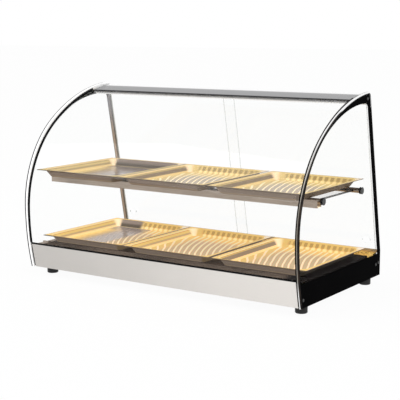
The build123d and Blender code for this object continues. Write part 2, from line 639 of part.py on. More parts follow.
with BuildPart() as front_glass_sill:
    with BuildSketch(Plane.YZ):
        case_band(GASKET_INSET, GASKET_BACK)
        region(-FAR, 0, DECK_Z, SILL_TOP_Z, mode=Mode.INTERSECT)
        with BuildSketch(mode=Mode.SUBTRACT):
            case_band(FRONT_GLASS_INSET - TOUCH_GAP, FRONT_GLASS_BACK + TOUCH_GAP)
            region(-FAR, FAR, GLASS_FOOT_Z - TOUCH_GAP, FAR, mode=Mode.INTERSECT)
    extrude(amount=FRONT_GLASS_X, both=True)

with BuildPart() as front_glass_gaskets:
    with BuildSketch(Plane.YZ.offset(TRIM_X - GASKET_REACH)):
        case_band(GASKET_INSET, GASKET_INSET + GASKET_WALL)
        end_y = COVER_Y - COVER_GASKET_LAP - EDGE_GAP
        region(-FAR, end_y, SILL_TOP_Z + TOUCH_GAP, FAR, mode=Mode.INTERSECT)
    extrude(amount=FRONT_GLASS_X - TRIM_X + GASKET_REACH)
    mirror(about=Plane.YZ)

# Top cover: folded sheet over the crown, with the gasket under its front edge
with BuildPart() as top_cover:
    with BuildSketch(Plane.YZ):
        case_band(PANEL_INSET, PANEL_INSET + PANEL_SHEET)
        low = lean_point(0, LEAN_LENGTH - COVER_REAR_LAP)[1]
        region(COVER_Y, FAR, low, FAR, mode=Mode.INTERSECT)
    extrude(amount=PANEL_X, both=True)

with BuildPart() as top_cover_gasket:
    with BuildSketch(Plane.YZ):
        case_band(PANEL_INSET, GASKET_INSET + GASKET_WALL)
        lap_y = COVER_Y - COVER_GASKET_LAP
        region(lap_y, COVER_Y - TOUCH_GAP, BASE_Z + BULGE_HEIGHT, FAR, mode=Mode.INTERSECT)
        with BuildSketch(mode=Mode.ADD):
            case_band(PANEL_INSET, GASKET_BACK)
            start_y = COVER_Y - COVER_GAP + TOUCH_GAP
            region(start_y, COVER_Y - TOUCH_GAP, BASE_Z + BULGE_HEIGHT, FAR, mode=Mode.INTERSECT)
    extrude(amount=PANEL_X, both=True)

# Top rail: hollow bar with a gusset at each end, which carries the cover, the upper door track and the light
with BuildPart() as top_rail:
    with BuildSketch(Plane.YZ):
        region(RAIL_FRONT_Y, RAIL_REAR_Y, TOP_RAIL_Z - TOP_RAIL_HEIGHT, TOP_RAIL_Z)
    extrude(amount=GLASS_X, both=True)
    for gusset_x in (GLASS_X, -GLASS_X - SIDE_GLASS):
        with BuildSketch(Plane.YZ.offset(gusset_x)):
            region(GUSSET_FRONT_Y, REAR_Y, GUSSET_LOW_Z, CROWN_Z)
            add(FACE_SIDE, mode=Mode.INTERSECT)
        extrude(amount=SIDE_GLASS)
    with BuildSketch(Plane.YZ):
        region(
            RAIL_FRONT_Y + TOP_RAIL_WALL,
            RAIL_REAR_Y - TOP_RAIL_REAR_WALL,
            TOP_RAIL_Z - TOP_RAIL_HEIGHT + TOP_RAIL_WALL,
            TOP_RAIL_Z - TOP_RAIL_WALL,
        )
    extrude(amount=HALF_WIDTH, both=True, mode=Mode.SUBTRACT)
    with BuildSketch(Plane.YZ):
        with Locations(side_screw_points()[0]):
            Circle(SIDE_SCREW_RADIUS + SCREW_CLEARANCE)
    extrude(amount=HALF_WIDTH, both=True, mode=Mode.SUBTRACT)

# Door tracks, each with two grooves that lean with the rear face


def door_grooves(rise_low, rise_high):
    """Cuts the two door grooves between two rises."""
    for depth in (OUTER_DOOR_DEPTH, INNER_DOOR_DEPTH):
        lean_strip(depth - GROOVE_GAP, depth + DOOR_GLASS + GROOVE_GAP, rise_low, rise_high, Mode.SUBTRACT)


with BuildPart() as door_track_bottom:
    with BuildSketch(Plane.YZ):
        lean_strip(TRACK_START, TRACK_END, -FAR, TRACK_LIP)
        region(-FAR, FAR, DECK_Z, FAR, mode=Mode.INTERSECT)
        door_grooves(0, FAR)
    extrude(amount=INSIDE_X, both=True)

with BuildPart() as door_track_top:
    with BuildSketch(Plane.YZ):
        lean_strip(TRACK_START, TRACK_END, TRACK_TOP_START, TRACK_TOP_END)
        door_grooves(TRACK_TOP_START - 1, TRACK_TOP_START + TRACK_TOP_DEPTH)
    extrude(amount=INSIDE_X, both=True)

# Rubber strips that the closed doors meet at each side
with BuildPart() as door_bumpers:
    with BuildSketch(Plane.YZ.offset(GLASS_X - BUMPER_THICKNESS)):
        lean_strip(TRACK_START, TRACK_END, TRACK_LIP + BUMPER_END_GAP, TRACK_TOP_START - BUMPER_END_GAP)
    extrude(amount=BUMPER_THICKNESS)
    mirror(about=Plane.YZ)


# Sliding glass doors, each with a finger hole lined by a pull ring
def sliding_door(depth, side):
    """One door: glass in its track, closed against its own side."""
    centre_x = side * (DOOR_LIMIT_X - DOOR_WIDTH / 2)
    with BuildPart() as door:
        with BuildSketch(REAR_PLANE.offset(depth)):
            with Locations((centre_x, (DOOR_SEAT_GAP + DOOR_RISE) / 2)):
                Rectangle(DOOR_WIDTH, DOOR_RISE - DOOR_SEAT_GAP)
            with Locations((side * (DOOR_LIMIT_X - PULL_EDGE_DISTANCE), PULL_RISE)):
                Circle(PULL_BORE + PULL_WALL + SHAFT_FIT, mode=Mode.SUBTRACT)
        extrude(amount=DOOR_GLASS)
    return door


def door_pull(depth, side):
    """Ring with a thin flange on each face of the glass."""
    place = (side * (DOOR_LIMIT_X - PULL_EDGE_DISTANCE), PULL_RISE)
    with BuildPart() as pull:
        with BuildSketch(REAR_PLANE.offset(depth - PULL_PROUD)):
            with Locations(place):
                Circle(PULL_BORE + PULL_WALL)
        extrude(amount=DOOR_GLASS + 2 * PULL_PROUD)
        for start in (depth - PULL_PROUD, depth + DOOR_GLASS):
            with BuildSketch(REAR_PLANE.offset(start)):
                with Locations(place):
                    Circle(PULL_BORE + PULL_WALL + PULL_FLANGE / 2)
            extrude(amount=PULL_PROUD)
        with BuildSketch(REAR_PLANE.offset(depth - PULL_PROUD)):
            with Locations(place):
                Circle(PULL_BORE)
        extrude(amount=DOOR_GLASS + 2 * PULL_PROUD, mode=Mode.SUBTRACT)
    return pull


door_left = sliding_door(OUTER_DOOR_DEPTH, -1)
door_right = sliding_door(INNER_DOOR_DEPTH, 1)
door_pull_left = door_pull(OUTER_DOOR_DEPTH, -1)
door_pull_right = door_pull(INNER_DOOR_DEPTH, 1)

# Shelf: two slotted tubes with a glass plate between them
SLOT_HALF = SHELF_GLASS / 2 + SLOT_GAP
SLOT_END_X = TUBE_END_X - PLUG_LENGTH - SLOT_MARGIN


def shelf_tube(centre_y, slot_side):
    """Tube across the case, slotted on the side where the glass enters."""
    with BuildPart() as tube:
        with BuildSketch(Plane.YZ):
            with Locations((centre_y, SHELF_TUBE_Z)):
                Circle(TUBE_RADIUS)
                Circle(TUBE_RADIUS - TUBE_WALL, mode=Mode.SUBTRACT)
        extrude(amount=TUBE_END_X - CLEARANCE, both=True)
        with BuildSketch(Plane.YZ):
            with Locations((centre_y + slot_side * TUBE_RADIUS, SHELF_TUBE_Z)):
                Rectangle(2 * TUBE_RADIUS, 2 * SLOT_HALF)
        extrude(amount=SLOT_END_X, both=True, mode=Mode.SUBTRACT)
    return tube


shelf_front_tube = shelf_tube(SHELF_FRONT_Y, 1)
shelf_rear_tube = shelf_tube(SHELF_REAR_Y, -1)

with BuildPart() as shelf_glass:
    with BuildSketch(Plane.XY.offset(SHELF_TUBE_Z - SHELF_GLASS / 2)):
        with Locations((0, (SHELF_FRONT_Y + SHELF_REAR_Y) / 2)):
            glass_depth = SHELF_REAR_Y - SHELF_FRONT_Y - 2 * SHELF_GLASS_GRIP
            Rectangle(2 * (SLOT_END_X - SLOT_END_GAP), glass_depth)
    extrude(amount=SHELF_GLASS)

# Black end discs with a plug inside each tube, and the bolts through the side glass
with BuildPart() as shelf_end_discs:
    with BuildSketch(Plane.YZ.offset(TUBE_END_X)):
        with Locations(*shelf_bolt_points()):
            Circle(DISC_RADIUS)
    extrude(amount=DISC_THICKNESS)
    with BuildSketch(Plane.YZ.offset(TUBE_END_X)):
        with Locations(*shelf_bolt_points()):
            Circle(TUBE_RADIUS - TUBE_WALL - SHAFT_FIT)
    extrude(amount=-PLUG_LENGTH)
    with BuildSketch(Plane.YZ.offset(TUBE_END_X - PLUG_LENGTH)):
        with Locations(*shelf_bolt_points()):
            Circle(SHELF_BOLT_RADIUS + SHAFT_FIT)
    extrude(amount=PLUG_LENGTH + DISC_THICKNESS, mode=Mode.SUBTRACT)
    mirror(about=Plane.YZ)

with BuildPart() as shelf_bolts:
    with BuildSketch(Plane.YZ.offset(PLATE_X)):
        with Locations(*shelf_bolt_points()):
            Circle(SHELF_BOLT_HEAD_RADIUS)
    extrude(amount=SHELF_BOLT_HEAD)
    fillet(shelf_bolts.edges().group_by(Axis.X)[-1], radius=BOLT_HEAD_FILLET)
    with BuildSketch(Plane.YZ.offset(PLATE_X)):
        with Locations(*shelf_bolt_points()):
            Circle(SHELF_BOLT_RADIUS)
    extrude(amount=TUBE_END_X - PLUG_LENGTH + BOLT_END_GAP - PLATE_X)
    mirror(about=Plane.YZ)

# Light rail under the upper trays, clipped round the lower front of the front tube
RAIL_REAR_WALL_Y = RAIL_Y + LIGHT_RAIL_DEPTH
CRADLE_RADIUS = TUBE_RADIUS + CRADLE_GAP
with BuildSketch() as cradle:
    Circle(CRADLE_RADIUS + LIGHT_RAIL_WALL)
    Circle(CRADLE_RADIUS, mode=Mode.SUBTRACT)
    region(-FAR, CRADLE_REACH, -FAR, CRADLE_TOP, mode=Mode.INTERSECT)
with BuildPart() as shelf_light_rail:
    with BuildSketch(Plane.YZ):
        region(RAIL_Y, RAIL_Y + LIGHT_RAIL_WALL, RAIL_BOTTOM_Z, RAIL_TOP_Z)
        region(RAIL_Y, SHELF_FRONT_Y - TUBE_RADIUS, RAIL_TOP_Z - LIGHT_RAIL_WALL, RAIL_TOP_Z)
        region(RAIL_Y, RAIL_Y + LIGHT_RAIL_FOOT, RAIL_BOTTOM_Z, RAIL_BOTTOM_Z + LIGHT_RAIL_WALL)
        rear_wall_y = RAIL_REAR_WALL_Y - LIGHT_RAIL_WALL
        region(rear_wall_y, RAIL_REAR_WALL_Y, RAIL_BOTTOM_Z, SHELF_TUBE_Z - TUBE_RADIUS)
        with Locations((SHELF_FRONT_Y, SHELF_TUBE_Z)):
            Circle(CRADLE_RADIUS, mode=Mode.SUBTRACT)
            add(cradle.sketch)
    extrude(amount=INSIDE_X - RAIL_END_GAP, both=True)
    for end_x in (-HALF_WIDTH, TUBE_END_X - CLEARANCE):
        with BuildSketch(Plane.YZ.offset(end_x)):
            with Locations((SHELF_FRONT_Y, SHELF_TUBE_Z)):
                Circle(DISC_RADIUS + CLEARANCE)
        extrude(amount=HALF_WIDTH - TUBE_END_X + CLEARANCE, mode=Mode.SUBTRACT)


# Lens of the shelf light, hooked over the rail's foot
SHELF_LENS_Y = RAIL_Y + LIGHT_RAIL_FOOT + EDGE_GAP
with BuildPart() as shelf_light_lens:
    with BuildSketch(Plane.YZ):
        lens_end_y = RAIL_REAR_WALL_Y - LIGHT_RAIL_WALL - EDGE_GAP
        hook_end_y = SHELF_LENS_Y + LENS_LIP
        hook_z = RAIL_BOTTOM_Z + LIGHT_RAIL_WALL + TOUCH_GAP
        region(SHELF_LENS_Y, lens_end_y, RAIL_BOTTOM_Z, RAIL_BOTTOM_Z + LENS_THICKNESS)
        region(SHELF_LENS_Y, hook_end_y, RAIL_BOTTOM_Z, RAIL_BOTTOM_Z + LENS_HOOK_HEIGHT)
        region(SHELF_LENS_Y - LENS_HOOK, hook_end_y, hook_z, RAIL_BOTTOM_Z + LENS_HOOK_HEIGHT)
    extrude(amount=INSIDE_X - 2 * RAIL_END_GAP, both=True)

# Light under the crown
CROWN_LIGHT_Y = RAIL_FRONT_Y - CROWN_LIGHT_GAP - CROWN_LIGHT_WIDTH
CROWN_LIGHT_Z = BASE_Z + CROWN_LIGHT_TOP
CROWN_LIGHT_END_Y = CROWN_LIGHT_Y + CROWN_LIGHT_WIDTH
CROWN_LIGHT_MID_Y = CROWN_LIGHT_Y + CROWN_LIGHT_WIDTH / 2
CROWN_LENS_INSET = LIGHT_RAIL_WALL + EDGE_GAP
with BuildPart() as crown_light_housing:
    with BuildSketch(Plane.YZ):
        region(CROWN_LIGHT_Y, CROWN_LIGHT_END_Y, CROWN_LIGHT_Z - CROWN_LIGHT_HEIGHT, CROWN_LIGHT_Z)
        region(
            CROWN_LIGHT_Y + LIGHT_RAIL_WALL,
            CROWN_LIGHT_END_Y - LIGHT_RAIL_WALL,
            CROWN_LIGHT_Z - CROWN_LIGHT_HEIGHT,
            CROWN_LIGHT_Z - LIGHT_RAIL_WALL,
            mode=Mode.SUBTRACT,
        )
        tab_y = CROWN_LIGHT_END_Y - LIGHT_RAIL_WALL
        region(tab_y, RAIL_FRONT_Y - TOUCH_GAP, CROWN_LIGHT_Z - LIGHT_RAIL_WALL, CROWN_LIGHT_Z)
    extrude(amount=INSIDE_X, both=True)

with BuildPart() as crown_light_lens:
    with BuildSketch(Plane.YZ):
        region(
            CROWN_LIGHT_Y + CROWN_LENS_INSET,
            CROWN_LIGHT_END_Y - CROWN_LENS_INSET,
            CROWN_LIGHT_Z - CROWN_LIGHT_HEIGHT,
            CROWN_LIGHT_Z - CROWN_LIGHT_HEIGHT + LENS_THICKNESS,
        )
    extrude(amount=INSIDE_X - RAIL_END_GAP, both=True)


# Boards with the lamps of both lights
def led_board(centre_y, top_z):
    """Board with its row of lamps facing down."""
    pitch = 2 * (PANEL_X - BOARD_END_MARGIN) / LED_COUNT
    with BuildPart() as board:
        with BuildSketch(Plane.XY.offset(top_z)):
            with Locations((0, centre_y)):
                Rectangle(LED_COUNT * pitch, BOARD_WIDTH)
        extrude(amount=-BOARD_THICKNESS)
        with BuildSketch(Plane.XY.offset(top_z - BOARD_THICKNESS)):
            with Locations((0, centre_y)):
                with GridLocations(pitch, 1, LED_COUNT, 1):
                    Rectangle(LED_SIZE, LED_SIZE)
        extrude(amount=-LED_HEIGHT)
    return board


SHELF_BOARD_Y = RAIL_Y + LIGHT_RAIL_WALL + BOARD_SETBACK + BOARD_WIDTH / 2
with BuildPart() as light_boards:
    add(led_board(SHELF_BOARD_Y, RAIL_TOP_Z - LIGHT_RAIL_WALL))
    add(led_board(CROWN_LIGHT_MID_Y, CROWN_LIGHT_Z - LIGHT_RAIL_WALL))



# Trays: pressed pans with a flat rim
def tray(centre_x, front_y, floor_z):
    """One tray, standing on floor_z with its rim's front edge at front_y."""
    centre = (centre_x, front_y + TRAY_LENGTH / 2)
    mouth = (TRAY_WIDTH - 2 * TRAY_RIM, TRAY_LENGTH - 2 * TRAY_RIM)
    draft = 2 * TRAY_DRAFT
    low_corner = TRAY_CORNER - TRAY_DRAFT

    def pan(shrink, z_low, z_high, bottom_fillet):
        """Drafted body of the pan, shrunk on all sides."""
        with BuildPart(mode=Mode.PRIVATE) as body:
            with BuildSketch(Plane.XY.offset(z_low)):
                with Locations(centre):
                    RectangleRounded(
                        mouth[0] - draft - 2 * shrink, mouth[1] - draft - 2 * shrink, low_corner - shrink
                    )
            with BuildSketch(Plane.XY.offset(z_high)):
                with Locations(centre):
                    RectangleRounded(mouth[0] - 2 * shrink, mouth[1] - 2 * shrink, TRAY_CORNER - shrink)
            loft()
            fillet(body.edges().group_by(Axis.Z)[0], radius=bottom_fillet)
        return body.part

    rim_z = floor_z + TRAY_DEPTH
    with BuildPart() as piece:
        add(pan(0, floor_z, rim_z, TRAY_BOTTOM_FILLET))
        with BuildSketch(Plane.XY.offset(rim_z - TRAY_SHEET)):
            with Locations(centre):
                RectangleRounded(TRAY_WIDTH, TRAY_LENGTH, TRAY_RIM_CORNER)
        extrude(amount=TRAY_SHEET)
        add(
            pan(TRAY_SHEET, floor_z + TRAY_SHEET, rim_z + RIM_CUT, TRAY_BOTTOM_FILLET - TRAY_SHEET),
            mode=Mode.SUBTRACT,
        )
    return piece


TRAY_PITCH = TRAY_WIDTH + TRAY_GAP
TRAY_CENTRES = [
    (index - (TRAYS_PER_LEVEL - 1) / 2) * TRAY_PITCH + TRAY_SHIFTS[index] for index in range(TRAYS_PER_LEVEL)
]
TRAY_NAMES = ["left", "middle", "right"]
TRAYS = {}
for tray_name, tray_x in zip(TRAY_NAMES, TRAY_CENTRES):
    TRAYS[f"upper_tray_{tray_name}"] = tray(tray_x, UPPER_TRAY_Y, UPPER_TRAY_Z)
    TRAYS[f"lower_tray_{tray_name}"] = tray(tray_x, LOWER_TRAY_Y, DECK_Z)

# Pan-head screws through the side plates
with BuildPart() as side_screws:
    with BuildSketch(Plane.YZ.offset(HALF_WIDTH)):
        with Locations(*side_screw_points()):
            Circle(SIDE_SCREW_HEAD_RADIUS)
    extrude(amount=SIDE_SCREW_HEAD)
    fillet(side_screws.edges().group_by(Axis.X)[-1], radius=SCREW_HEAD_FILLET)
    with BuildSketch(Plane.YZ.offset(HALF_WIDTH)):
        with Locations(*side_screw_points()):
            Circle(SIDE_SCREW_RADIUS)
    extrude(amount=GLASS_X - TOUCH_GAP - HALF_WIDTH)
    with BuildSketch(Plane.YZ.offset(GLASS_X)):
        with Locations(side_screw_points()[0]):
            Circle(SIDE_SCREW_RADIUS)
    extrude(amount=-TOP_SCREW_REACH)
    mirror(about=Plane.YZ)

# Heating element under the deck, its clips and the insulation on the pan
ELEMENT_FRONT_Y = FRONT_Y + ELEMENT_FRONT_SETBACK
ELEMENT_BACK_Y = REAR_Y - ELEMENT_REAR_SETBACK
with BuildPart() as heating_element:
    with BuildLine() as element_path:
        FilletPolyline(
            (-ELEMENT_TAIL_X, ELEMENT_BACK_Y + ELEMENT_TAIL, ELEMENT_Z),
            (-ELEMENT_TAIL_X, ELEMENT_BACK_Y - ELEMENT_TAIL, ELEMENT_Z),
            (-ELEMENT_REACH_X, ELEMENT_BACK_Y - ELEMENT_TAIL, ELEMENT_Z),
            (-ELEMENT_REACH_X, ELEMENT_FRONT_Y, ELEMENT_Z),
            (ELEMENT_REACH_X, ELEMENT_FRONT_Y, ELEMENT_Z),
            (ELEMENT_REACH_X, ELEMENT_BACK_Y - ELEMENT_TAIL, ELEMENT_Z),
            (ELEMENT_TAIL_X, ELEMENT_BACK_Y - ELEMENT_TAIL, ELEMENT_Z),
            (ELEMENT_TAIL_X, ELEMENT_BACK_Y + ELEMENT_TAIL, ELEMENT_Z),
            radius=ELEMENT_BEND,
        )
    with BuildSketch(Plane(element_path.line @ 0, z_dir=element_path.line % 0)):
        Circle(ELEMENT_RADIUS)
    sweep()

CLIP_ROWS = [ELEMENT_FRONT_Y, ELEMENT_BACK_Y - ELEMENT_TAIL]
with BuildPart() as element_clips:
    for clip_x in (-CLIP_X, CLIP_X):
        for clip_y in CLIP_ROWS:
            with BuildSketch(Plane.YZ.offset(clip_x - CLIP_WIDTH / 2)):
                region(clip_y - CLIP_WALL / 2, clip_y + CLIP_WALL / 2, PAN_TOP_Z, ELEMENT_Z)
                region(clip_y - CLIP_FOOT, clip_y + CLIP_FOOT, PAN_TOP_Z, PAN_TOP_Z + CLIP_WALL)
                with Locations((clip_y, ELEMENT_Z)):
                    Circle(ELEMENT_RADIUS + SHAFT_FIT + CLIP_WALL)
                    Circle(ELEMENT_RADIUS + SHAFT_FIT, mode=Mode.SUBTRACT)
            extrude(amount=CLIP_WIDTH)

PAD_FRONT_Y = FRONT_Y + PAD_FRONT_SETBACK
PAD_REAR_Y = REAR_Y - PAD_REAR_SETBACK
with BuildPart() as insulation_pad:
    with BuildSketch(Plane.XY.offset(PAN_TOP_Z)):
        with Locations((0, (PAD_FRONT_Y + PAD_REAR_Y) / 2)):
            Rectangle(2 * PAD_HALF_WIDTH, PAD_REAR_Y - PAD_FRONT_Y)
        for clip_y in CLIP_ROWS:
            with Locations((-CLIP_X, clip_y), (CLIP_X, clip_y)):
                Rectangle(CLIP_WIDTH + 2 * CLIP_GAP, 2 * (CLIP_FOOT + CLIP_GAP), mode=Mode.SUBTRACT)
    extrude(amount=PAD_THICKNESS)

# Thermostat: body behind the panel, shaft through it, knob outside, sensing bulb under the deck
THERMOSTAT_FRONT_Y = PANEL_BACK_Y - THERMOSTAT_SIZE[1]
with BuildPart() as thermostat_body:
    with BuildSketch(Plane.XZ.offset(-PANEL_BACK_Y)):
        with Locations((KNOB_X, CONTROL_Z)):
            Rectangle(THERMOSTAT_SIZE[0], THERMOSTAT_SIZE[2])
    extrude(amount=THERMOSTAT_SIZE[1])
    with BuildSketch(Plane.XZ.offset(-REAR_Y - KNOB_GAP / 2)):
        with Locations((KNOB_X, CONTROL_Z)):
            Circle(SHAFT_RADIUS + BUSH_WALL)
    extrude(amount=PANEL_SHEET + KNOB_GAP / 2)
    with BuildSketch(Plane.XZ.offset(-REAR_Y - KNOB_GAP)):
        with Locations((KNOB_X, CONTROL_Z)):
            Circle(SHAFT_RADIUS + SHAFT_FIT)
    extrude(amount=THERMOSTAT_SIZE[1] / 2 + KNOB_GAP + PANEL_SHEET, mode=Mode.SUBTRACT)

KNOB_PLANE = Plane(origin=(KNOB_X, REAR_Y + KNOB_GAP, CONTROL_Z), x_dir=(-1, 0, 0), z_dir=(0, 1, 0))
with BuildPart() as thermostat_shaft:
    with BuildSketch(KNOB_PLANE.offset(-SHAFT_REACH)):
        Circle(SHAFT_RADIUS)
    extrude(amount=SHAFT_REACH + KNOB_HEIGHT - KNOB_CAP - SHAFT_END_GAP)

with BuildPart() as thermostat_knob:
    with BuildSketch(KNOB_PLANE):
        Circle(KNOB_RADIUS)
    extrude(amount=KNOB_SKIRT, taper=KNOB_TAPER)
    with BuildSketch(KNOB_PLANE.offset(KNOB_SKIRT)):
        Circle(KNOB_GRIP_RADIUS)
        with PolarLocations(KNOB_FLUTE_PITCH_RADIUS, KNOB_FLUTES, start_angle=180 / KNOB_FLUTES):
            Circle(KNOB_FLUTE_RADIUS, mode=Mode.SUBTRACT)
    extrude(amount=KNOB_HEIGHT - KNOB_SKIRT)
    chamfer(thermostat_knob.edges().group_by(Axis.Y)[-1], length=KNOB_CHAMFER)
    with BuildSketch(KNOB_PLANE):
        Circle(SHAFT_RADIUS + SHAFT_FIT)
    extrude(amount=KNOB_HEIGHT - KNOB_CAP, mode=Mode.SUBTRACT)

BULB_Y = THERMOSTAT_FRONT_Y - BULB_SETBACK
BULB_START_X = KNOB_X + BULB_OFFSET
BULB_Z = DECK_Z - SHEET - BULB_RADIUS - CLEARANCE
with BuildPart() as thermostat_bulb:
    with BuildSketch(Plane.YZ.offset(BULB_START_X)):
        with Locations((BULB_Y, BULB_Z)):
            Circle(BULB_RADIUS)
    extrude(amount=BULB_LENGTH)
    with BuildLine() as capillary_path:
        FilletPolyline(
            (BULB_START_X + CAPILLARY_ENTRY, BULB_Y, BULB_Z),
            (KNOB_X, BULB_Y, BULB_Z),
            (KNOB_X, THERMOSTAT_FRONT_Y - CAPILLARY_RUN, BULB_Z),
            (KNOB_X, THERMOSTAT_FRONT_Y - CAPILLARY_RUN, CONTROL_Z),
            (KNOB_X, THERMOSTAT_FRONT_Y - CLEARANCE, CONTROL_Z),
            radius=CAPILLARY_BEND,
        )
    with BuildSketch(Plane(capillary_path.line @ 0, z_dir=capillary_path.line % 0)):
        Circle(CAPILLARY_RADIUS)
    sweep()

# Rocker switches: each has a housing in the panel and a rocker on a pin
ROCKER_PIVOT_Y = REAR_Y + SWITCH_BEZEL - ROCKER_PIVOT_DEPTH
ROCKER_HALF = ROCKER_LENGTH / 2
with BuildPart() as switch_housings:
    for switch_x in (POWER_SWITCH_X, LIGHT_SWITCH_X):
        with BuildSketch(Plane.XZ.offset(-REAR_Y - SWITCH_BEZEL)):
            with Locations((switch_x, CONTROL_Z)):
                RectangleRounded(SWITCH_WIDTH, SWITCH_LENGTH, SWITCH_CORNER)
        extrude(amount=SWITCH_BEZEL)
        with BuildSketch(Plane.XZ.offset(-REAR_Y)):
            with Locations((switch_x, CONTROL_Z)):
                Rectangle(SWITCH_CUT_WIDTH - 2 * EDGE_GAP, SWITCH_CUT_LENGTH - 2 * EDGE_GAP)
        extrude(amount=SWITCH_BODY_DEPTH)
        with BuildSketch(Plane.XZ.offset(-REAR_Y - SWITCH_BEZEL)):
            with Locations((switch_x, CONTROL_Z)):
                Rectangle(ROCKER_WIDTH + 2 * CLEARANCE, ROCKER_LENGTH + 2 * ROCKER_END_GAP)
        extrude(amount=SWITCH_BEZEL + ROCKER_WELL, mode=Mode.SUBTRACT)
        pin_seat = ROCKER_PIN_REACH + EDGE_GAP
        with BuildSketch(Plane.YZ.offset(switch_x - ROCKER_WIDTH / 2 - pin_seat)):
            with Locations((ROCKER_PIVOT_Y, CONTROL_Z)):
                Circle(ROCKER_PIN_RADIUS + SHAFT_FIT)
        extrude(amount=ROCKER_WIDTH + 2 * pin_seat, mode=Mode.SUBTRACT)


def rocker(centre_x):
    """Rocker pressed at its upper end, with its pivot pin."""
    with BuildPart() as piece:
        with BuildSketch(Plane.YZ.offset(centre_x - ROCKER_WIDTH / 2)):
            with BuildSketch(mode=Mode.ADD):
                with Locations(Location((ROCKER_PIVOT_Y, CONTROL_Z, 0), ROCKER_TILT)):
                    Polygon(
                        (ROCKER_CROWN, ROCKER_HALF - ROCKER_TIP_GAP),
                        (ROCKER_VALLEY, 0),
                        (ROCKER_CROWN, -ROCKER_HALF + ROCKER_TIP_GAP),
                        (-ROCKER_BELLY, -ROCKER_HALF + ROCKER_UNDERCUT),
                        (-ROCKER_BELLY, ROCKER_HALF - ROCKER_UNDERCUT),
                        align=None,
                    )
        extrude(amount=ROCKER_WIDTH)
        with BuildSketch(Plane.YZ.offset(centre_x - ROCKER_WIDTH / 2 - ROCKER_PIN_REACH)):
            with Locations((ROCKER_PIVOT_Y, CONTROL_Z)):
                Circle(ROCKER_PIN_RADIUS)
        extrude(amount=ROCKER_WIDTH + 2 * ROCKER_PIN_REACH)
    return piece


power_rocker = rocker(POWER_SWITCH_X)
light_rocker = rocker(LIGHT_SWITCH_X)

# Indicator lamp
with BuildPart() as indicator_lamp:
    with BuildSketch(Plane.XZ.offset(-REAR_Y)):
        with Locations((LAMP_X, CONTROL_Z)):
            Circle(LAMP_RADIUS + LAMP_FLANGE)
    extrude(amount=-LAMP_FLANGE)
    fillet(indicator_lamp.edges().group_by(Axis.Y)[-1], radius=LAMP_FILLET)
    with BuildSketch(Plane.XZ.offset(-REAR_Y)):
        with Locations((LAMP_X, CONTROL_Z)):
            Circle(LAMP_RADIUS)
    extrude(amount=LAMP_LENGTH)

# Cable gland, with its nut inside the panel
with BuildPart() as cable_gland:
    with BuildSketch(CONTROL_PLANE):
        with Locations((-GLAND_X, 0)):
            RegularPolygon(GLAND_NUT_RADIUS, side_count=6)
    extrude(amount=GLAND_NUT_HEIGHT)
    with BuildSketch(CONTROL_PLANE.offset(GLAND_NUT_HEIGHT)):
        with Locations((-GLAND_X, 0)):
            Circle(GLAND_CAP_RADIUS)
    extrude(amount=GLAND_CAP_HEIGHT, taper=GLAND_TAPER)
    with BuildSketch(CONTROL_PLANE):
        with Locations((-GLAND_X, 0)):
            Circle(GLAND_THREAD_RADIUS)
    extrude(amount=-GLAND_THREAD)
    with BuildSketch(CONTROL_PLANE.offset(-PANEL_SHEET - TOUCH_GAP)):
        with Locations((-GLAND_X, 0)):
            RegularPolygon(GLAND_NUT_RADIUS, side_count=6)
    extrude(amount=-GLAND_BACK_NUT)
    with BuildSketch(CONTROL_PLANE.offset(GLAND_NUT_HEIGHT + GLAND_CAP_HEIGHT)):
        with Locations((-GLAND_X, 0)):
            Circle(GLAND_BORE)
    extrude(amount=-(GLAND_NUT_HEIGHT + GLAND_CAP_HEIGHT + 2 * GLAND_THREAD), mode=Mode.SUBTRACT)

# Terminal block and lamp driver on the pan
INNER_BOX_Y = PAD_REAR_Y + BASE_BOX_SETBACK


def base_box(centre_x, size):
    """Box on the pan, between the insulation and the rear panel."""
    with BuildPart() as box:
        with BuildSketch(Plane.XY.offset(PAN_TOP_Z)):
            with Locations((centre_x, INNER_BOX_Y)):
                Rectangle(size[0], size[1])
        extrude(amount=size[2])
        fillet(box.edges().filter_by(Axis.Z), radius=BASE_BOX_FILLET)
    return box


terminal_block = base_box(TERMINAL_BLOCK_X, TERMINAL_BLOCK_SIZE)
lamp_driver = base_box(DRIVER_X, DRIVER_SIZE)

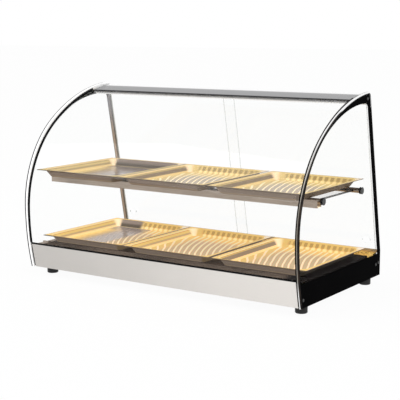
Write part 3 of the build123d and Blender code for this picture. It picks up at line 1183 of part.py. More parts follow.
PIECES = {
    "base_pan": base_pan,
    "front_panel": front_panel,
    "rear_panel": rear_panel,
    "deck_plate": deck_plate,
    "tray_stops": tray_stops,
    "side_plate_left": side_plate_left,
    "side_plate_right": side_plate_right,
    "side_glass_left": side_glass_left,
    "side_glass_right": side_glass_right,
    "edge_trim_left": edge_trim_left,
    "edge_trim_right": edge_trim_right,
    "corner_block_left": corner_block_left,
    "corner_block_right": corner_block_right,
    "front_glass": front_glass,
    "front_glass_sill": front_glass_sill,
    "front_glass_gaskets": front_glass_gaskets,
    "top_cover": top_cover,
    "top_cover_gasket": top_cover_gasket,
    "top_rail": top_rail,
    "door_track_bottom": door_track_bottom,
    "door_track_top": door_track_top,
    "door_bumpers": door_bumpers,
    "door_left": door_left,
    "door_right": door_right,
    "door_pull_left": door_pull_left,
    "door_pull_right": door_pull_right,
    "shelf_front_tube": shelf_front_tube,
    "shelf_rear_tube": shelf_rear_tube,
    "shelf_glass": shelf_glass,
    "shelf_end_discs": shelf_end_discs,
    "shelf_bolts": shelf_bolts,
    "shelf_light_rail": shelf_light_rail,
    "shelf_light_lens": shelf_light_lens,
    "crown_light_housing": crown_light_housing,
    "light_boards": light_boards,
    "crown_light_lens": crown_light_lens,
    "feet": feet,
    "foot_screws": foot_screws,
    "foot_nuts": foot_nuts,
    "side_screws": side_screws,
    "heating_element": heating_element,
    "element_clips": element_clips,
    "insulation_pad": insulation_pad,
    "thermostat_body": thermostat_body,
    "thermostat_shaft": thermostat_shaft,
    "thermostat_knob": thermostat_knob,
    "thermostat_bulb": thermostat_bulb,
    "switch_housings": switch_housings,
    "power_rocker": power_rocker,
    "light_rocker": light_rocker,
    "indicator_lamp": indicator_lamp,
    "cable_gland": cable_gland,
    "terminal_block": terminal_block,
    "lamp_driver": lamp_driver,
    **TRAYS,
}

os.makedirs("parts", exist_ok=True)
for name, piece in PIECES.items():
    piece.part.label = name
    export_step(piece.part, f"parts/{name}.step")
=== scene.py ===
"""Looks of the heated display case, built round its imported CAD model.

Metres, in the CAD's own frame: the origin is under the middle of the case, on the surface that its feet
stand on. +X is the right-hand side seen from the front, +Y runs to the rear doors, +Z is up.
"""

import logging
import math
from dataclasses import dataclass
from enum import Enum
from functools import cached_property
from typing import Sequence, Union

import bpy
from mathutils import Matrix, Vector


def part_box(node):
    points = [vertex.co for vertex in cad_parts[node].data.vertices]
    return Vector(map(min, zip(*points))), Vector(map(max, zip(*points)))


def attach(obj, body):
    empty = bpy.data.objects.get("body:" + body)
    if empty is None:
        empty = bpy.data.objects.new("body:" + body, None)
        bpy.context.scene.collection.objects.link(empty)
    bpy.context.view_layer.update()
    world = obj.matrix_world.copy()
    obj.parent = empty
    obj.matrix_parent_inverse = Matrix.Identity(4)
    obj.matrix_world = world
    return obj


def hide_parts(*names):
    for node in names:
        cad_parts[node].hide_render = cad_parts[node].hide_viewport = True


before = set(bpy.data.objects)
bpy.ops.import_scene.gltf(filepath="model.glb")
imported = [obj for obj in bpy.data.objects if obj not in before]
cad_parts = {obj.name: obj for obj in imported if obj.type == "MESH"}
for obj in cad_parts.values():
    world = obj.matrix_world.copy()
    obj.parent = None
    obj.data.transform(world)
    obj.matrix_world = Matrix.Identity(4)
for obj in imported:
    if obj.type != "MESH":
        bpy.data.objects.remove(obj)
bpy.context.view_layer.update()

log = logging.getLogger("display_case")

Colour = tuple[float, float, float]
Point = Sequence[float]
Span = tuple[float, float]
Socket = bpy.types.NodeSocket
Value = Union[float, Socket, "Signal"]
Feeds = dict[Union[int, str], object]
CASE_BODY = "case"
HALF_CASE = 0.413


class Axis(Enum):
    """An axis of the case, and how a vector is stretched to draw grain along it."""

    X = (1.5, 60.0, 60.0)
    Y = (60.0, 1.5, 60.0)
    Z = (60.0, 60.0, 1.5)


class Signal:
    """What a node gives: a number, vector, colour or shader that varies from point to point."""

    def __init__(self, sheet: "NodeSheet", socket: Socket) -> None:
        """Keeps the node's output, and the sheet that takes the next sums."""
        self.sheet = sheet
        self.socket = socket

    def __add__(self, other: Value) -> "Signal":
        """Adds a number."""
        return self.sheet.maths("ADD", self, other)

    def __sub__(self, other: Value) -> "Signal":
        """Takes a number away."""
        return self.sheet.maths("SUBTRACT", self, other)

    def __rsub__(self, other: Value) -> "Signal":
        """Takes this number away from another."""
        return self.sheet.maths("SUBTRACT", other, self)

    def __mul__(self, other: Value) -> "Signal":
        """Multiplies by a number."""
        return self.sheet.maths("MULTIPLY", self, other)

    def __truediv__(self, other: Value) -> "Signal":
        """Divides by a number."""
        return self.sheet.maths("DIVIDE", self, other)

    def __abs__(self) -> "Signal":
        """Drops the sign."""
        return self.sheet.maths("ABSOLUTE", self, 0.0)

    def wave(self) -> "Signal":
        """Gives how far the number is from the middle between two whole ones, from 0 to 0.5."""
        return abs(self.sheet.maths("FRACT", self, 0.0) - 0.5)

    def rise(self, low: float, high: float) -> "Signal":
        """Goes smoothly from 0 at low to 1 at high, or the other way round if low is the larger."""
        return self.sheet.chart(self, (low, high, 0.0, 1.0), "SMOOTHSTEP")

    def between(self, low: float, high: float, edge: float) -> "Signal":
        """Is 1 between two limits and 0 outside them, with soft edges."""
        return self.rise(low - edge, low + edge) * self.rise(high + edge, high - edge)

    def span(self, low: float, high: float) -> "Signal":
        """Turns 0 to 1 into low to high."""
        return self.sheet.chart(self, (0.0, 1.0, low, high))


class NodeSheet:
    """The nodes of one material or world, with a short method for each kind that the finishes use."""

    def __init__(self, owner: Union[bpy.types.Material, bpy.types.World]) -> None:
        """Starts an empty sheet.

        Args:
            owner: the material or world that the nodes belong to.
        """
        owner.use_nodes = True
        self.tree = owner.node_tree
        self.tree.nodes.clear()

    def feed(self, socket: Socket, value: object) -> None:
        """Links an input to what feeds it, or sets a plain value on the input itself.

        Args:
            socket: the input.
            value: a signal, an output, a number, a vector or a colour.
        """
        source = value.socket if isinstance(value, Signal) else value
        if isinstance(source, Socket):
            self.tree.links.new(source, socket)
        elif socket.type == "RGBA":
            socket.default_value = (*source[:3], 1.0)
        else:
            socket.default_value = source

    def add(self, kind: str, feeds: Feeds, **settings: object) -> bpy.types.Node:
        """Adds a node.

        Args:
            kind: its type, without the ShaderNode prefix.
            feeds: what each input gets, by the input's number or name.
            **settings: attributes to set on it.

        Returns:
            The new node.
        """
        node = self.tree.nodes.new("ShaderNode" + kind)
        for name, value in settings.items():
            setattr(node, name, value)
        for key, value in feeds.items():
            self.feed(node.inputs[key], value)
        return node

    def draw(self, kind: str, feeds: Feeds, output: Union[int, str] = 0, **settings: object) -> Signal:
        """Adds a node and gives one of its outputs, by number or name."""
        return Signal(self, self.add(kind, feeds, **settings).outputs[output])

    def maths(self, operation: str, first: Value, second: Value, clamp: bool = False) -> Signal:
        """Does one sum on two numbers, and may clamp the result from 0 to 1."""
        return self.draw("Math", {0: first, 1: second}, operation=operation, use_clamp=clamp)

    def chart(self, value: Value, limits: Sequence[float], kind: str = "LINEAR") -> Signal:
        """Maps a number from the range of the first two limits to the range of the last two."""
        return self.draw("MapRange", dict(enumerate((value, *limits))), interpolation_type=kind)

    def mix(self, share: Value, first: object, second: object) -> Signal:
        """Mixes two colours, by how much of the second one there is."""
        return self.draw("Mix", {0: share, 6: first, 7: second}, 2, data_type="RGBA")

    def blend(self, share: Value, first: Signal, second: Signal) -> Signal:
        """Mixes two shaders, by how much of the second one there is."""
        return self.draw("MixShader", {0: share, 1: first, 2: second})

    @cached_property
    def place(self) -> Signal:
        """The point in the case's frame, which moves with the piece's body."""
        return self.draw("TexCoord", {}, "Object")

    def split(self, vector: Signal) -> tuple[Signal, ...]:
        """Splits a vector into X, Y and Z."""
        node = self.add("SeparateXYZ", {0: vector})
        return tuple(Signal(self, output) for output in node.outputs)

    def point(self) -> tuple[Signal, ...]:
        """Gives X, Y and Z of the place."""
        return self.split(self.place)

    def facing(self) -> tuple[Signal, ...]:
        """Gives X, Y and Z of the way that the surface faces."""
        return self.split(self.draw("NewGeometry", {}, "Normal"))

    def scale(self, colour: Signal, factor: Value) -> Signal:
        """Multiplies a colour by a number."""
        return self.draw("VectorMath", {0: colour, "Scale": factor}, operation="SCALE")

    def noise(self, scale: float, detail: float, stretch: Sequence[float] = ()) -> Signal:
        """Gives soft noise from 0 to 1, mostly near 0.5.

        Args:
            scale: how fast it changes, in changes per metre.
            detail: how many finer layers it has.
            stretch: what the place is multiplied by first, one factor for each axis.

        Returns:
            The noise.
        """
        vector = self.place
        if stretch:
            vector = self.draw("VectorMath", {0: vector, 1: tuple(stretch)}, operation="MULTIPLY")
        return self.draw("TexNoise", {"Vector": vector, "Scale": scale, "Detail": detail}, "Fac")

    def bump(self, height: Signal, depth: float) -> Signal:
        """Tilts the surface after a height from 0 to 1, where 1 is a depth in metres."""
        return self.draw("Bump", {"Strength": 1.0, "Distance": depth, "Height": height}, "Normal")

    def surface(self, **inputs: object) -> Signal:
        """Adds the usual surface shader, with its inputs by name and underscores for spaces."""
        return self.draw("BsdfPrincipled", {name.replace("_", " "): value for name, value in inputs.items()})


@dataclass(frozen=True)
class Finish:
    """What a surface is made of. Each kind of finish draws its own shader."""

    name: str

    def shade(self, sheet: NodeSheet) -> Signal:
        """Draws the shader.

        Args:
            sheet: the material's nodes.

        Returns:
            The shader.
        """
        raise NotImplementedError

    def material(self) -> bpy.types.Material:
        """Makes the material.

        Returns:
            The material, named after the finish.
        """
        material = bpy.data.materials.new(self.name)
        sheet = NodeSheet(material)
        sheet.add("OutputMaterial", {"Surface": self.shade(sheet)})
        return material


@dataclass(frozen=True)
class BrushedMetal(Finish):
    """Sheet or bar metal with a fine grain along one axis, whose tone may change from the left end to the
    right as painted light, and which may carry a painted sheen towards the rear.
    """

    light: Colour
    dark: Colour
    grain: Axis
    roughness: float
    metallic: float = 0.9
    depth: float = 0.00004
    worn: float = 0.35
    painted_light_falloff: Span = (1.0, 1.0)
    painted_sheen_y: float = 9.0
    painted_sheen_width: float = 0.016
    painted_sheen: Colour = (0.96, 0.96, 0.96)

    def shade(self, sheet: NodeSheet) -> Signal:
        """Draws grain in tone, roughness and bump, rubbed patches, painted light from the left end to the
        right, and a painted sheen towards the rear.

        Args:
            sheet: the material's nodes.

        Returns:
            The shader.
        """
        x, y, _ = sheet.point()
        grain = sheet.noise(14.0, 5.0, self.grain.value)
        tone = grain * (1.0 - self.worn) + sheet.noise(7.0, 3.0) * self.worn
        colour = sheet.mix(tone.rise(0.3, 0.7), self.dark, self.light)
        # painted light: the tone is scaled from the left end of the case to the right
        colour = sheet.scale(colour, x.rise(-HALF_CASE, HALF_CASE).span(*self.painted_light_falloff))
        # painted sheen: upward faces behind a given y turn a pale colour, standing in for a rounded fold's
        # reflection
        behind = y.rise(self.painted_sheen_y, self.painted_sheen_y + self.painted_sheen_width) * sheet.facing()[2].rise(0.4, 0.8)
        return sheet.surface(
            Base_Color=sheet.mix(behind, colour, self.painted_sheen),
            Metallic=self.metallic,
            Roughness=tone.span(self.roughness - 0.08, self.roughness + 0.08),
            Normal=sheet.bump(grain, self.depth),
        )


@dataclass(frozen=True)
class Satin(Finish):
    """Paint, plastic or rubber: one colour with a fine skin and a little dust."""

    colour: Colour
    dusty: Colour
    roughness: float = 0.45
    shine: float = 0.3
    skin: float = 900.0
    depth: float = 0.00003
    glow: float = 0.0
    index: float = 1.45

    def shade(self, sheet: NodeSheet) -> Signal:
        """Draws a fine skin in bump, and dust in soft patches.

        Args:
            sheet: the material's nodes.

        Returns:
            The shader.
        """
        dust = sheet.noise(11.0, 5.0)
        glow = {"Emission_Color": self.colour, "Emission_Strength": self.glow} if self.glow else {}
        return sheet.surface(
            Base_Color=sheet.mix(dust.rise(0.35, 0.85), self.colour, self.dusty),
            Roughness=dust.span(self.roughness - 0.1, self.roughness + 0.12),
            Specular_IOR_Level=self.shine,
            IOR=self.index,
            Normal=sheet.bump(sheet.noise(self.skin, 2.0), self.depth),
            **glow,
        )


class Cut(Enum):
    """How a pane's cut edges are told from its faces: an axis, and if the faces look along it."""

    SIDES = (0, False)
    ROUND_UPRIGHT = (0, True)
    ROUND_REAR = (1, True)
    ROUND_LEVEL = (2, True)


@dataclass(frozen=True)
class ClearGlass(Finish):
    """Clear sheet glass, seen straight through, with its tint in the cut edges."""

    edge: Colour
    cut: Cut
    edge_cover: float = 0.5
    mirror: float = 0.5
    haze: float = 0.004

    def shade(self, sheet: NodeSheet) -> Signal:
        """Draws glass that is clear on its faces, tinted on its cut edges, with faint wipe marks.

        Args:
            sheet: the material's nodes.

        Returns:
            The shader.
        """
        axis, faces_along = self.cut.value
        along = abs(sheet.facing()[axis])
        cut = along.rise(0.8, 0.5) if faces_along else along.rise(0.96, 0.99)
        wipes = sheet.noise(2.0, 4.0, (3.0, 9.0, 9.0)).rise(0.5, 0.8)
        front = 1.0 - sheet.draw("NewGeometry", {}, "Backfacing")
        mirrored = sheet.draw("Fresnel", {"IOR": 1.45}) * front * self.mirror
        clear = sheet.draw("BsdfTransparent", {"Color": (0.998, 0.999, 0.998)})
        rough = wipes.span(0.03, 0.1)
        gloss = sheet.draw("BsdfAnisotropic", {"Color": (0.95, 0.96, 0.955), "Roughness": rough})
        pane = sheet.blend(sheet.maths("ADD", mirrored, wipes * self.haze, clamp=True), clear, gloss)
        ground = sheet.surface(Base_Color=sheet.mix(wipes, self.edge, (0.5, 0.55, 0.52)), Roughness=0.25)
        return sheet.blend(cut * self.edge_cover, pane, ground)


@dataclass(frozen=True)
class LeftTrim(Finish):
    """Polished trim with the pale room's reflection painted on it: white, with a painted grey line where its
    outer lip turns.
    """

    name: str = "polished_trim_left"
    white: Colour = (0.95, 0.95, 0.95)
    grey: Colour = (0.06, 0.06, 0.064)
    crown_reflection_grey: Colour = (0.24, 0.24, 0.24)
    foot_reflection_grey: Colour = (0.03, 0.03, 0.033)
    outer_x: float = 0.4158
    lip: float = 0.0042
    blur: float = 0.0004
    crown_z: Span = (0.3, 0.5)
    foot_z: Span = (0.14, 0.09)
    rear_y: Span = (0.128, 0.132)

    def shade(self, sheet: NodeSheet) -> Signal:
        """Draws the painted grey line from how far inward of the outer face a point is, with a polisher's
        haze; the white also glows a little as painted reflection.

        Args:
            sheet: the material's nodes.

        Returns:
            The shader.
        """
        x, y, z = sheet.point()
        haze = sheet.noise(40.0, 4.0)
        inward = x + self.outer_x
        line = (inward - self.lip).rise(self.blur, -self.blur) * y.rise(*self.rear_y).span(1.0, 0.0)
        # painted reflection: the grey line is lighter at the crown and darker at the foot
        grey = sheet.mix(z.rise(*self.crown_z), self.grey, self.crown_reflection_grey)
        grey = sheet.mix(z.rise(*self.foot_z), grey, self.foot_reflection_grey)
        return sheet.surface(
            Base_Color=sheet.mix(line, self.white, grey),
            Roughness=haze.span(0.2, 0.36),
            IOR=1.1,
            # painted reflection: the white glows, and the grey line does not
            Emission_Color=self.white,
            Emission_Strength=line.span(0.22, 0.0),
            Normal=sheet.bump(haze, 0.00002),
        )


@dataclass(frozen=True)
class RightTrim(Finish):
    """Polished trim with painted reflections: of the dark end panel below, and of the pale room at the
    crown.
    """

    name: str = "polished_trim_right"
    dark: Colour = (0.016, 0.014, 0.013)
    warm: Colour = (0.045, 0.033, 0.025)
    line: Colour = (0.26, 0.24, 0.21)
    white: Colour = (0.95, 0.95, 0.95)
    outer_x: float = 0.4135
    blur: float = 0.0004
    crown_z: Span = (0.3, 0.43)
    arch_z: Span = (0.25, 0.36)
    tip_z: Span = (0.455, 0.485)
    foot_z: Span = (0.1, 0.05)

    def shade(self, sheet: NodeSheet) -> Signal:
        """Draws one thin painted highlight along a face painted dark as reflection, which widens to white at
        the crown.

        Args:
            sheet: the material's nodes.

        Returns:
            The shader.
        """
        x, _, z = sheet.point()
        haze = sheet.noise(40.0, 4.0)
        inward = self.outer_x - x
        arch, tip = z.rise(*self.arch_z), z.rise(*self.tip_z)
        outer = arch.span(0.0034, 0.0008) + tip.span(0.0, -0.003)
        inner = arch.span(0.0056, 0.0040) + tip.span(0.0, -0.0008)
        line = (inward - outer).rise(-self.blur, self.blur) * (inward - inner).rise(self.blur, -self.blur)
        # painted reflection: the line turns white at the crown and at the foot
        pale = sheet.maths("MAXIMUM", z.rise(*self.crown_z), z.rise(*self.foot_z))
        # painted reflection: a dark face, warmer in patches
        dark = sheet.mix(haze.rise(0.4, 0.65), self.dark, self.warm)
        return sheet.surface(
            Base_Color=sheet.mix(line, dark, sheet.mix(pale, self.line, self.white)),
            Metallic=line.span(0.0, 0.5),
            Roughness=haze.span(0.2, 0.36),
            IOR=1.12,
            Normal=sheet.bump(haze, 0.00002),
        )


@dataclass(frozen=True)
class CoverStrip(Finish):
    """Strip under the cover's front edge: dark in front, and the cover's grey where it laps the sheet."""

    front_y: float
    lap: float = 0.0022
    blur: float = 0.001
    dark: Colour = (0.045, 0.045, 0.048)
    grey: Colour = (0.3, 0.3, 0.305)

    def shade(self, sheet: NodeSheet) -> Signal:
        """Draws the strip from how far behind the front edge a point is.

        Args:
            sheet: the material's nodes.

        Returns:
            The shader.
        """
        behind = sheet.point()[1] - self.front_y
        skin = sheet.noise(1200.0, 2.0)
        return sheet.surface(
            Base_Color=sheet.mix(behind.rise(self.lap, self.lap + self.blur), self.dark, self.grey),
            Roughness=skin.span(0.4, 0.55),
            IOR=1.1,
            Normal=sheet.bump(skin, 0.00003),
        )


@dataclass(frozen=True)
class EndPanel(Finish):
    """Side plate: black coat outside, bare steel inside that shows beside the rear doors, where the lamps'
    light is painted on the steel.
    """

    rear_y: float
    lean_z: float
    lean: float = math.radians(11.36)
    black: Colour = (0.0008, 0.0008, 0.001)
    dusty: Colour = (0.002, 0.002, 0.0022)
    near: Colour = (0.66, 0.5, 0.37)
    far: Colour = (0.27, 0.205, 0.155)
    cool: Colour = (0.52, 0.51, 0.55)
    under_cover_z: Span = (0.476, 0.47)
    cool_z: Span = (0.34, 0.45)
    bare_depth: Span = (0.026, 0.022)
    shade_to_light_depth: Span = (0.0078, 0.0096)

    def shade(self, sheet: NodeSheet) -> Signal:
        """Draws coat or steel from which way a point faces and how far it is from the leaning rear edge; the
        steel's light and shade are painted.

        Args:
            sheet: the material's nodes.

        Returns:
            The shader.
        """
        x, y, z = sheet.point()
        depth = (self.rear_y - y) * math.cos(self.lean) + (self.lean_z - z) * math.sin(self.lean)
        inner = (sheet.facing()[0] * x).rise(-0.1, -0.3)
        band = inner * z.rise(*self.under_cover_z) * depth.rise(*self.bare_depth)
        grain = sheet.noise(14.0, 4.0, Axis.Z.value)
        dust = sheet.noise(11.0, 5.0)
        # painted light and shade on the steel: darker next to the rear edge, lighter further in, cool grey
        # above 0.45 m
        steel = sheet.mix(depth.rise(*self.shade_to_light_depth), self.far, self.near)
        steel = sheet.scale(sheet.mix(z.rise(*self.cool_z), steel, self.cool), grain.span(0.85, 1.15))
        coat = sheet.mix(dust.rise(0.35, 0.85), self.black, self.dusty)
        return sheet.surface(
            Base_Color=sheet.mix(band, coat, steel),
            Metallic=band * 0.3,
            Roughness=dust.span(0.34, 0.5),
            IOR=1.03,
            Normal=sheet.bump(sheet.noise(900.0, 2.0), 0.00003),
        )


@dataclass(frozen=True)
class DeckMetal(Finish):
    """Deck steel: brown under the trays, with painted light at its left end, a painted dark reflection at
    its right end, and a painted pool of gold light behind.
    """

    front: Colour = (0.2, 0.15, 0.115)
    shadow: Colour = (0.12, 0.09, 0.07)
    pale: Colour = (0.5, 0.43, 0.37)
    dark: Colour = (0.018, 0.014, 0.013)
    gold: Colour = (0.85, 0.55, 0.15)
    speck: Colour = (0.42, 0.26, 0.07)
    pale_light_x: Span = (-0.385, -0.392)
    dark_reflection_x: Span = (0.34, 0.37)
    pool_y: Span = (0.147, 0.149)

    def shade(self, sheet: NodeSheet) -> Signal:
        """Draws steel that is brushed across, with the pool of light behind the trays.

        Args:
            sheet: the material's nodes.

        Returns:
            The shader.
        """
        x, y, _ = sheet.point()
        grain = sheet.noise(14.0, 5.0, Axis.X.value)
        glitter = sheet.noise(150.0, 3.0, (1.0, 1.4, 1.0))
        brown = sheet.mix(sheet.noise(9.0, 3.0).rise(0.35, 0.65), self.shadow, self.front)
        # painted light: pale towards the left end
        brown = sheet.mix(x.rise(*self.pale_light_x), brown, self.pale)
        # painted reflection: nearly black towards the right end
        brown = sheet.mix(x.rise(*self.dark_reflection_x), brown, self.dark)
        lit = sheet.mix(glitter.rise(0.42, 0.6), self.speck, self.gold)
        pool = y.rise(*self.pool_y)
        return sheet.surface(
            Base_Color=sheet.mix(pool, brown, lit),
            Roughness=grain.span(0.3, 0.45),
            IOR=1.03,
            Emission_Color=lit,
            Emission_Strength=pool * 0.45,
            Normal=sheet.bump(grain, 0.00004),
        )


@dataclass(frozen=True)
class LampLight:
    """How the warm lamps colour the trays of one level."""

    level: str
    # how strongly the trays glow: painted lamp light
    glow: float
    outer_end_shade: Colour
    gold: Colour
    taupe: Colour
    deep: Colour
    bright: Colour


@dataclass(frozen=True)
class TrayMetal(Finish):
    """Brushed tray steel under the warm lamps, with their light painted on it: streaks, bars, highlights,
    shade and a glow.

    The streaks run from the front to the rear of the bottom and lean more the further left the tray stands.
    Left of plain_left the bottom has hardly any, and left of rear_lit the rear wall is dim. Heights are
    above the tray's bottom sheet.
    """

    low: Point
    high: Point
    light: LampLight
    lean: float
    end: Colour
    band: Colour
    band_top: float
    plain_left: float
    rear_lit: float
    gauge: float = 0.001
    pitch: float = 0.0168
    bend_from: float = 0.079
    flange: Span = (0.0178, 0.0188)
    lip: Span = (0.0026, 0.0018)
    front_wall: Colour = (0.2, 0.15, 0.115)
    front_glint: Colour = (0.3, 0.22, 0.13)
    pale: Colour = (0.88, 0.65, 0.29)
    strip: Colour = (0.85, 0.63, 0.32)
    # painted highlight on the inner corner whose faces look right and to the front
    corner: Colour = (1.0, 0.8, 0.52)
    drop_highlight: Colour = (1.0, 0.76, 0.38)
    dim: Colour = (0.1, 0.08, 0.06)
    dim_top: Colour = (0.24, 0.19, 0.16)
    flange_highlight: Colour = (0.8, 0.68, 0.54)
    flange_lip: Colour = (0.36, 0.28, 0.21)
    grey: Colour = (0.25, 0.205, 0.18)
    edge: Colour = (0.1, 0.07, 0.045)

    def side_wall(self, sheet: NodeSheet, up: Signal) -> Signal:
        """Paints the lamps' light and its reflections on the left, right and front inner walls: pale foot,
        brown band, gold, thin line, pale strip.

        Args:
            sheet: the material's nodes.
            up: the height.

        Returns:
            The colour.
        """
        wall = sheet.mix(up.rise(0.0045, 0.0062), self.pale, self.band)
        wall = sheet.mix(up.rise(self.band_top, self.band_top + 0.0013), wall, self.light.gold)
        wall = sheet.mix(up.rise(0.0148, 0.0152), wall, self.light.deep)
        return sheet.mix(up.rise(0.0162, 0.0167), wall, self.strip)

    def rear_wall(self, sheet: NodeSheet, across: Signal, up: Signal) -> Signal:
        """Paints the lamps' reflections on the rear inner wall: a flat strip, then upright bars that end in
        bright drops, with painted shade left of rear_lit.

        Args:
            sheet: the material's nodes.
            across: distance to the right of the tray's middle.
            up: the height.

        Returns:
            The colour.
        """
        gold, deep = self.light.gold, self.light.deep
        off = ((across + 0.2) / self.pitch).wave()
        start = across.rise(-0.09, -0.075)
        # the painted reflections grow weaker towards the right
        painted_light_falloff = across.rise(0.0, 0.11).span(1.0, 0.6)
        # painted reflections of the lamps: upright bars, and bright painted highlights at their foot
        bars = off.rise(0.3, 0.1) * up.between(0.0066, 0.0164, 0.0008) * start * painted_light_falloff
        drops = off.rise(0.44, 0.16) * up.between(0.0012, 0.0068, 0.0022) * start * painted_light_falloff
        wall = sheet.mix(up.rise(0.0045, 0.0085) * start, gold, deep)
        wall = sheet.mix(bars, wall, gold)
        wall = sheet.mix(drops, wall, self.drop_highlight)
        wall = sheet.mix(up.rise(0.0158, 0.0172), wall, gold)
        # painted shade: the rear wall is dim left of rear_lit
        dim = sheet.mix(up.rise(0.006, 0.013), self.dim, self.dim_top)
        return sheet.mix(across.rise(self.rear_lit - 0.01, self.rear_lit + 0.01), dim, wall)

    def bottom(self, sheet: NodeSheet, across: Signal, back: Signal) -> Signal:
        """Paints the bottom: taupe with the lamps' streaks as painted reflections, painted gold light along
        the left wall and towards the rear, and plain grey left of plain_left.

        Args:
            sheet: the material's nodes.
            across: distance to the right of the tray's middle.
            back: distance behind the point where the streaks start to bend.

        Returns:
            The colour.
        """
        wander = (sheet.noise(16.0, 2.0) - 0.5) * 0.006
        bow = back * (back * (0.92 * self.lean) + (-0.53 * self.lean))
        pull = sheet.maths("MAXIMUM", -0.085 - across, 0.0) * 0.3
        shift = across - bow + pull + wander
        # painted reflections: the lamps' streaks, bowed and leaning, a pitch apart
        streak_reflection = ((shift + 0.04) / self.pitch + 0.5).wave().rise(0.18, 0.07)
        gold = self.light.gold
        reach = across.rise(self.plain_left, self.plain_left + 0.03)
        calm = sheet.mix(reach, self.grey, self.light.taupe)
        left = sheet.mix(across.rise(-0.105, -0.05), gold, calm)
        rear = sheet.mix(back.rise(0.15, 0.2), left, sheet.mix(reach, self.grey, gold))
        return sheet.mix(streak_reflection * reach.span(0.06, 1.0), rear, self.light.bright)

    def rim(self, sheet: NodeSheet, across: Signal, y: Signal) -> Signal:
        """Paints the flange in the lamps' gold, with a painted highlight at its right rear corner and a
        brown lip round it.

        Args:
            sheet: the material's nodes.
            across: distance to the right of the tray's middle.
            y: the point's own y.

        Returns:
            The colour.
        """
        right, rear = (self.high[0] - self.low[0]) / 2.0, self.high[1]
        start, end = self.lip
        # painted highlight at the flange's right rear corner
        corner = across.rise(right - 0.03, right - 0.008) * y.rise(rear - 0.05, rear - 0.012)
        colour = sheet.mix(corner, self.light.gold, self.flange_highlight)
        side_lip, rear_lip = abs(across).rise(right - start, right - end), y.rise(rear - start, rear - end)
        colour = sheet.mix(sheet.maths("MAXIMUM", side_lip, rear_lip), colour, self.flange_lip)
        return sheet.mix(y.rise(self.low[1] + 0.009, self.low[1] + 0.006), colour, self.edge)

    def shade(self, sheet: NodeSheet) -> Signal:
        """Draws the tray from how high in it a point is and which way it faces.

        Args:
            sheet: the material's nodes.

        Returns:
            The shader.
        """
        x, y, z = sheet.point()
        face_x, face_y, face_z = sheet.facing()
        across = x - (self.low[0] + self.high[0]) / 2.0
        back = y - (self.low[1] + self.bend_from)
        up = z - (self.low[2] + self.gauge)
        grain = sheet.noise(10.0, 4.0, Axis.X.value)

        level = face_z.rise(0.88, 0.97)
        rear = self.rear_wall(sheet, across, up)
        wall = sheet.mix(face_y.rise(-0.35, -0.6), self.side_wall(sheet, up), rear)
        # painted highlight: the inner corner whose faces look right and to the front turns near white
        wall = sheet.mix(face_x.rise(0.04, 0.5) * face_y.rise(-0.04, -0.5), wall, self.corner)
        inside = sheet.mix(level, wall, self.bottom(sheet, across, back))
        inside = sheet.mix(level * up.rise(*self.flange), inside, self.rim(sheet, across, y))

        # painted glint: a light line low on the outer walls
        outside = sheet.mix(up.between(0.0015, 0.003, 0.0005), self.front_wall, self.front_glint)
        outside = sheet.mix(up.rise(0.012, 0.0175), outside, self.edge)
        # painted shade: walls that face right take the end colour
        outside = sheet.mix(face_x.rise(0.3, 0.5), outside, self.end)
        colour = sheet.scale(sheet.mix(face_z.rise(0.0, 0.1), outside, inside), grain.span(0.84, 1.12))
        mirror = level * up.rise(0.01, 0.005) * across.rise(self.plain_left + 0.03, self.plain_left)
        return sheet.surface(
            Base_Color=colour,
            Metallic=mirror * 0.5,
            Roughness=mirror.span(0.42, 0.16),
            IOR=1.06,
            # painted light: the tray glows in its own colour at its level's glow
            Emission_Color=colour,
            Emission_Strength=self.light.glow,
            Normal=sheet.bump(grain, 0.00003),
        )


@dataclass(frozen=True)
class LampBoard(Finish):
    """Lamp board: a white solder mask with copper tracks along it, and glowing lamps under it."""

    name: str = "lamp_board_mask"
    mask: Colour = (0.62, 0.6, 0.55)
    copper: Colour = (0.4, 0.26, 0.12)
    glow: Colour = (1.0, 0.72, 0.36)

    def shade(self, sheet: NodeSheet) -> Signal:
        """Draws fine tracks on the mask, and a glow on what faces down.

        Args:
            sheet: the material's nodes.

        Returns:
            The shader.
        """
        tracks = sheet.noise(3.0, 1.0, (4.0, 240.0, 4.0)).rise(0.48, 0.52)
        return sheet.surface(
            Base_Color=sheet.mix(tracks * 0.6, self.mask, self.copper),
            Roughness=sheet.noise(60.0, 3.0).span(0.35, 0.5),
            Emission_Color=self.glow,
            Emission_Strength=sheet.facing()[2].rise(-0.4, -0.9) * 0.8,
            Normal=sheet.bump(tracks, 0.00003),
        )


def dress(finish: Finish, *nodes: str) -> bpy.types.Material:
    """Gives CAD nodes their finish.

    Args:
        finish: the finish.
        *nodes: names of the nodes.

    Returns:
        The material that they share.
    """
    material = finish.material()
    for node in nodes:
        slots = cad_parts[node].data.materials
        slots.clear()
        slots.append(material)
        log.info("dressed %s in %s", node, material.name)
    return material


def add_mesh(name: str, points: Sequence[Point], faces: Sequence[Sequence[int]]) -> bpy.types.Object:
    """Makes an object from points and faces.

    Args:
        name: its name.
        points: its points in metres.
        faces: the points of each face, by number.

    Returns:
        The new object.
    """
    mesh = bpy.data.meshes.new(name)
    mesh.from_pydata([tuple(point) for point in points], [], [tuple(face) for face in faces])
    piece = bpy.data.objects.new(name, mesh)
    bpy.context.scene.collection.objects.link(piece)
    return piece


@dataclass(frozen=True)
class Station:
    """A point of the side outline and the way out of the case there, in the side view."""

    y: float
    z: float
    out_y: float
    out_z: float


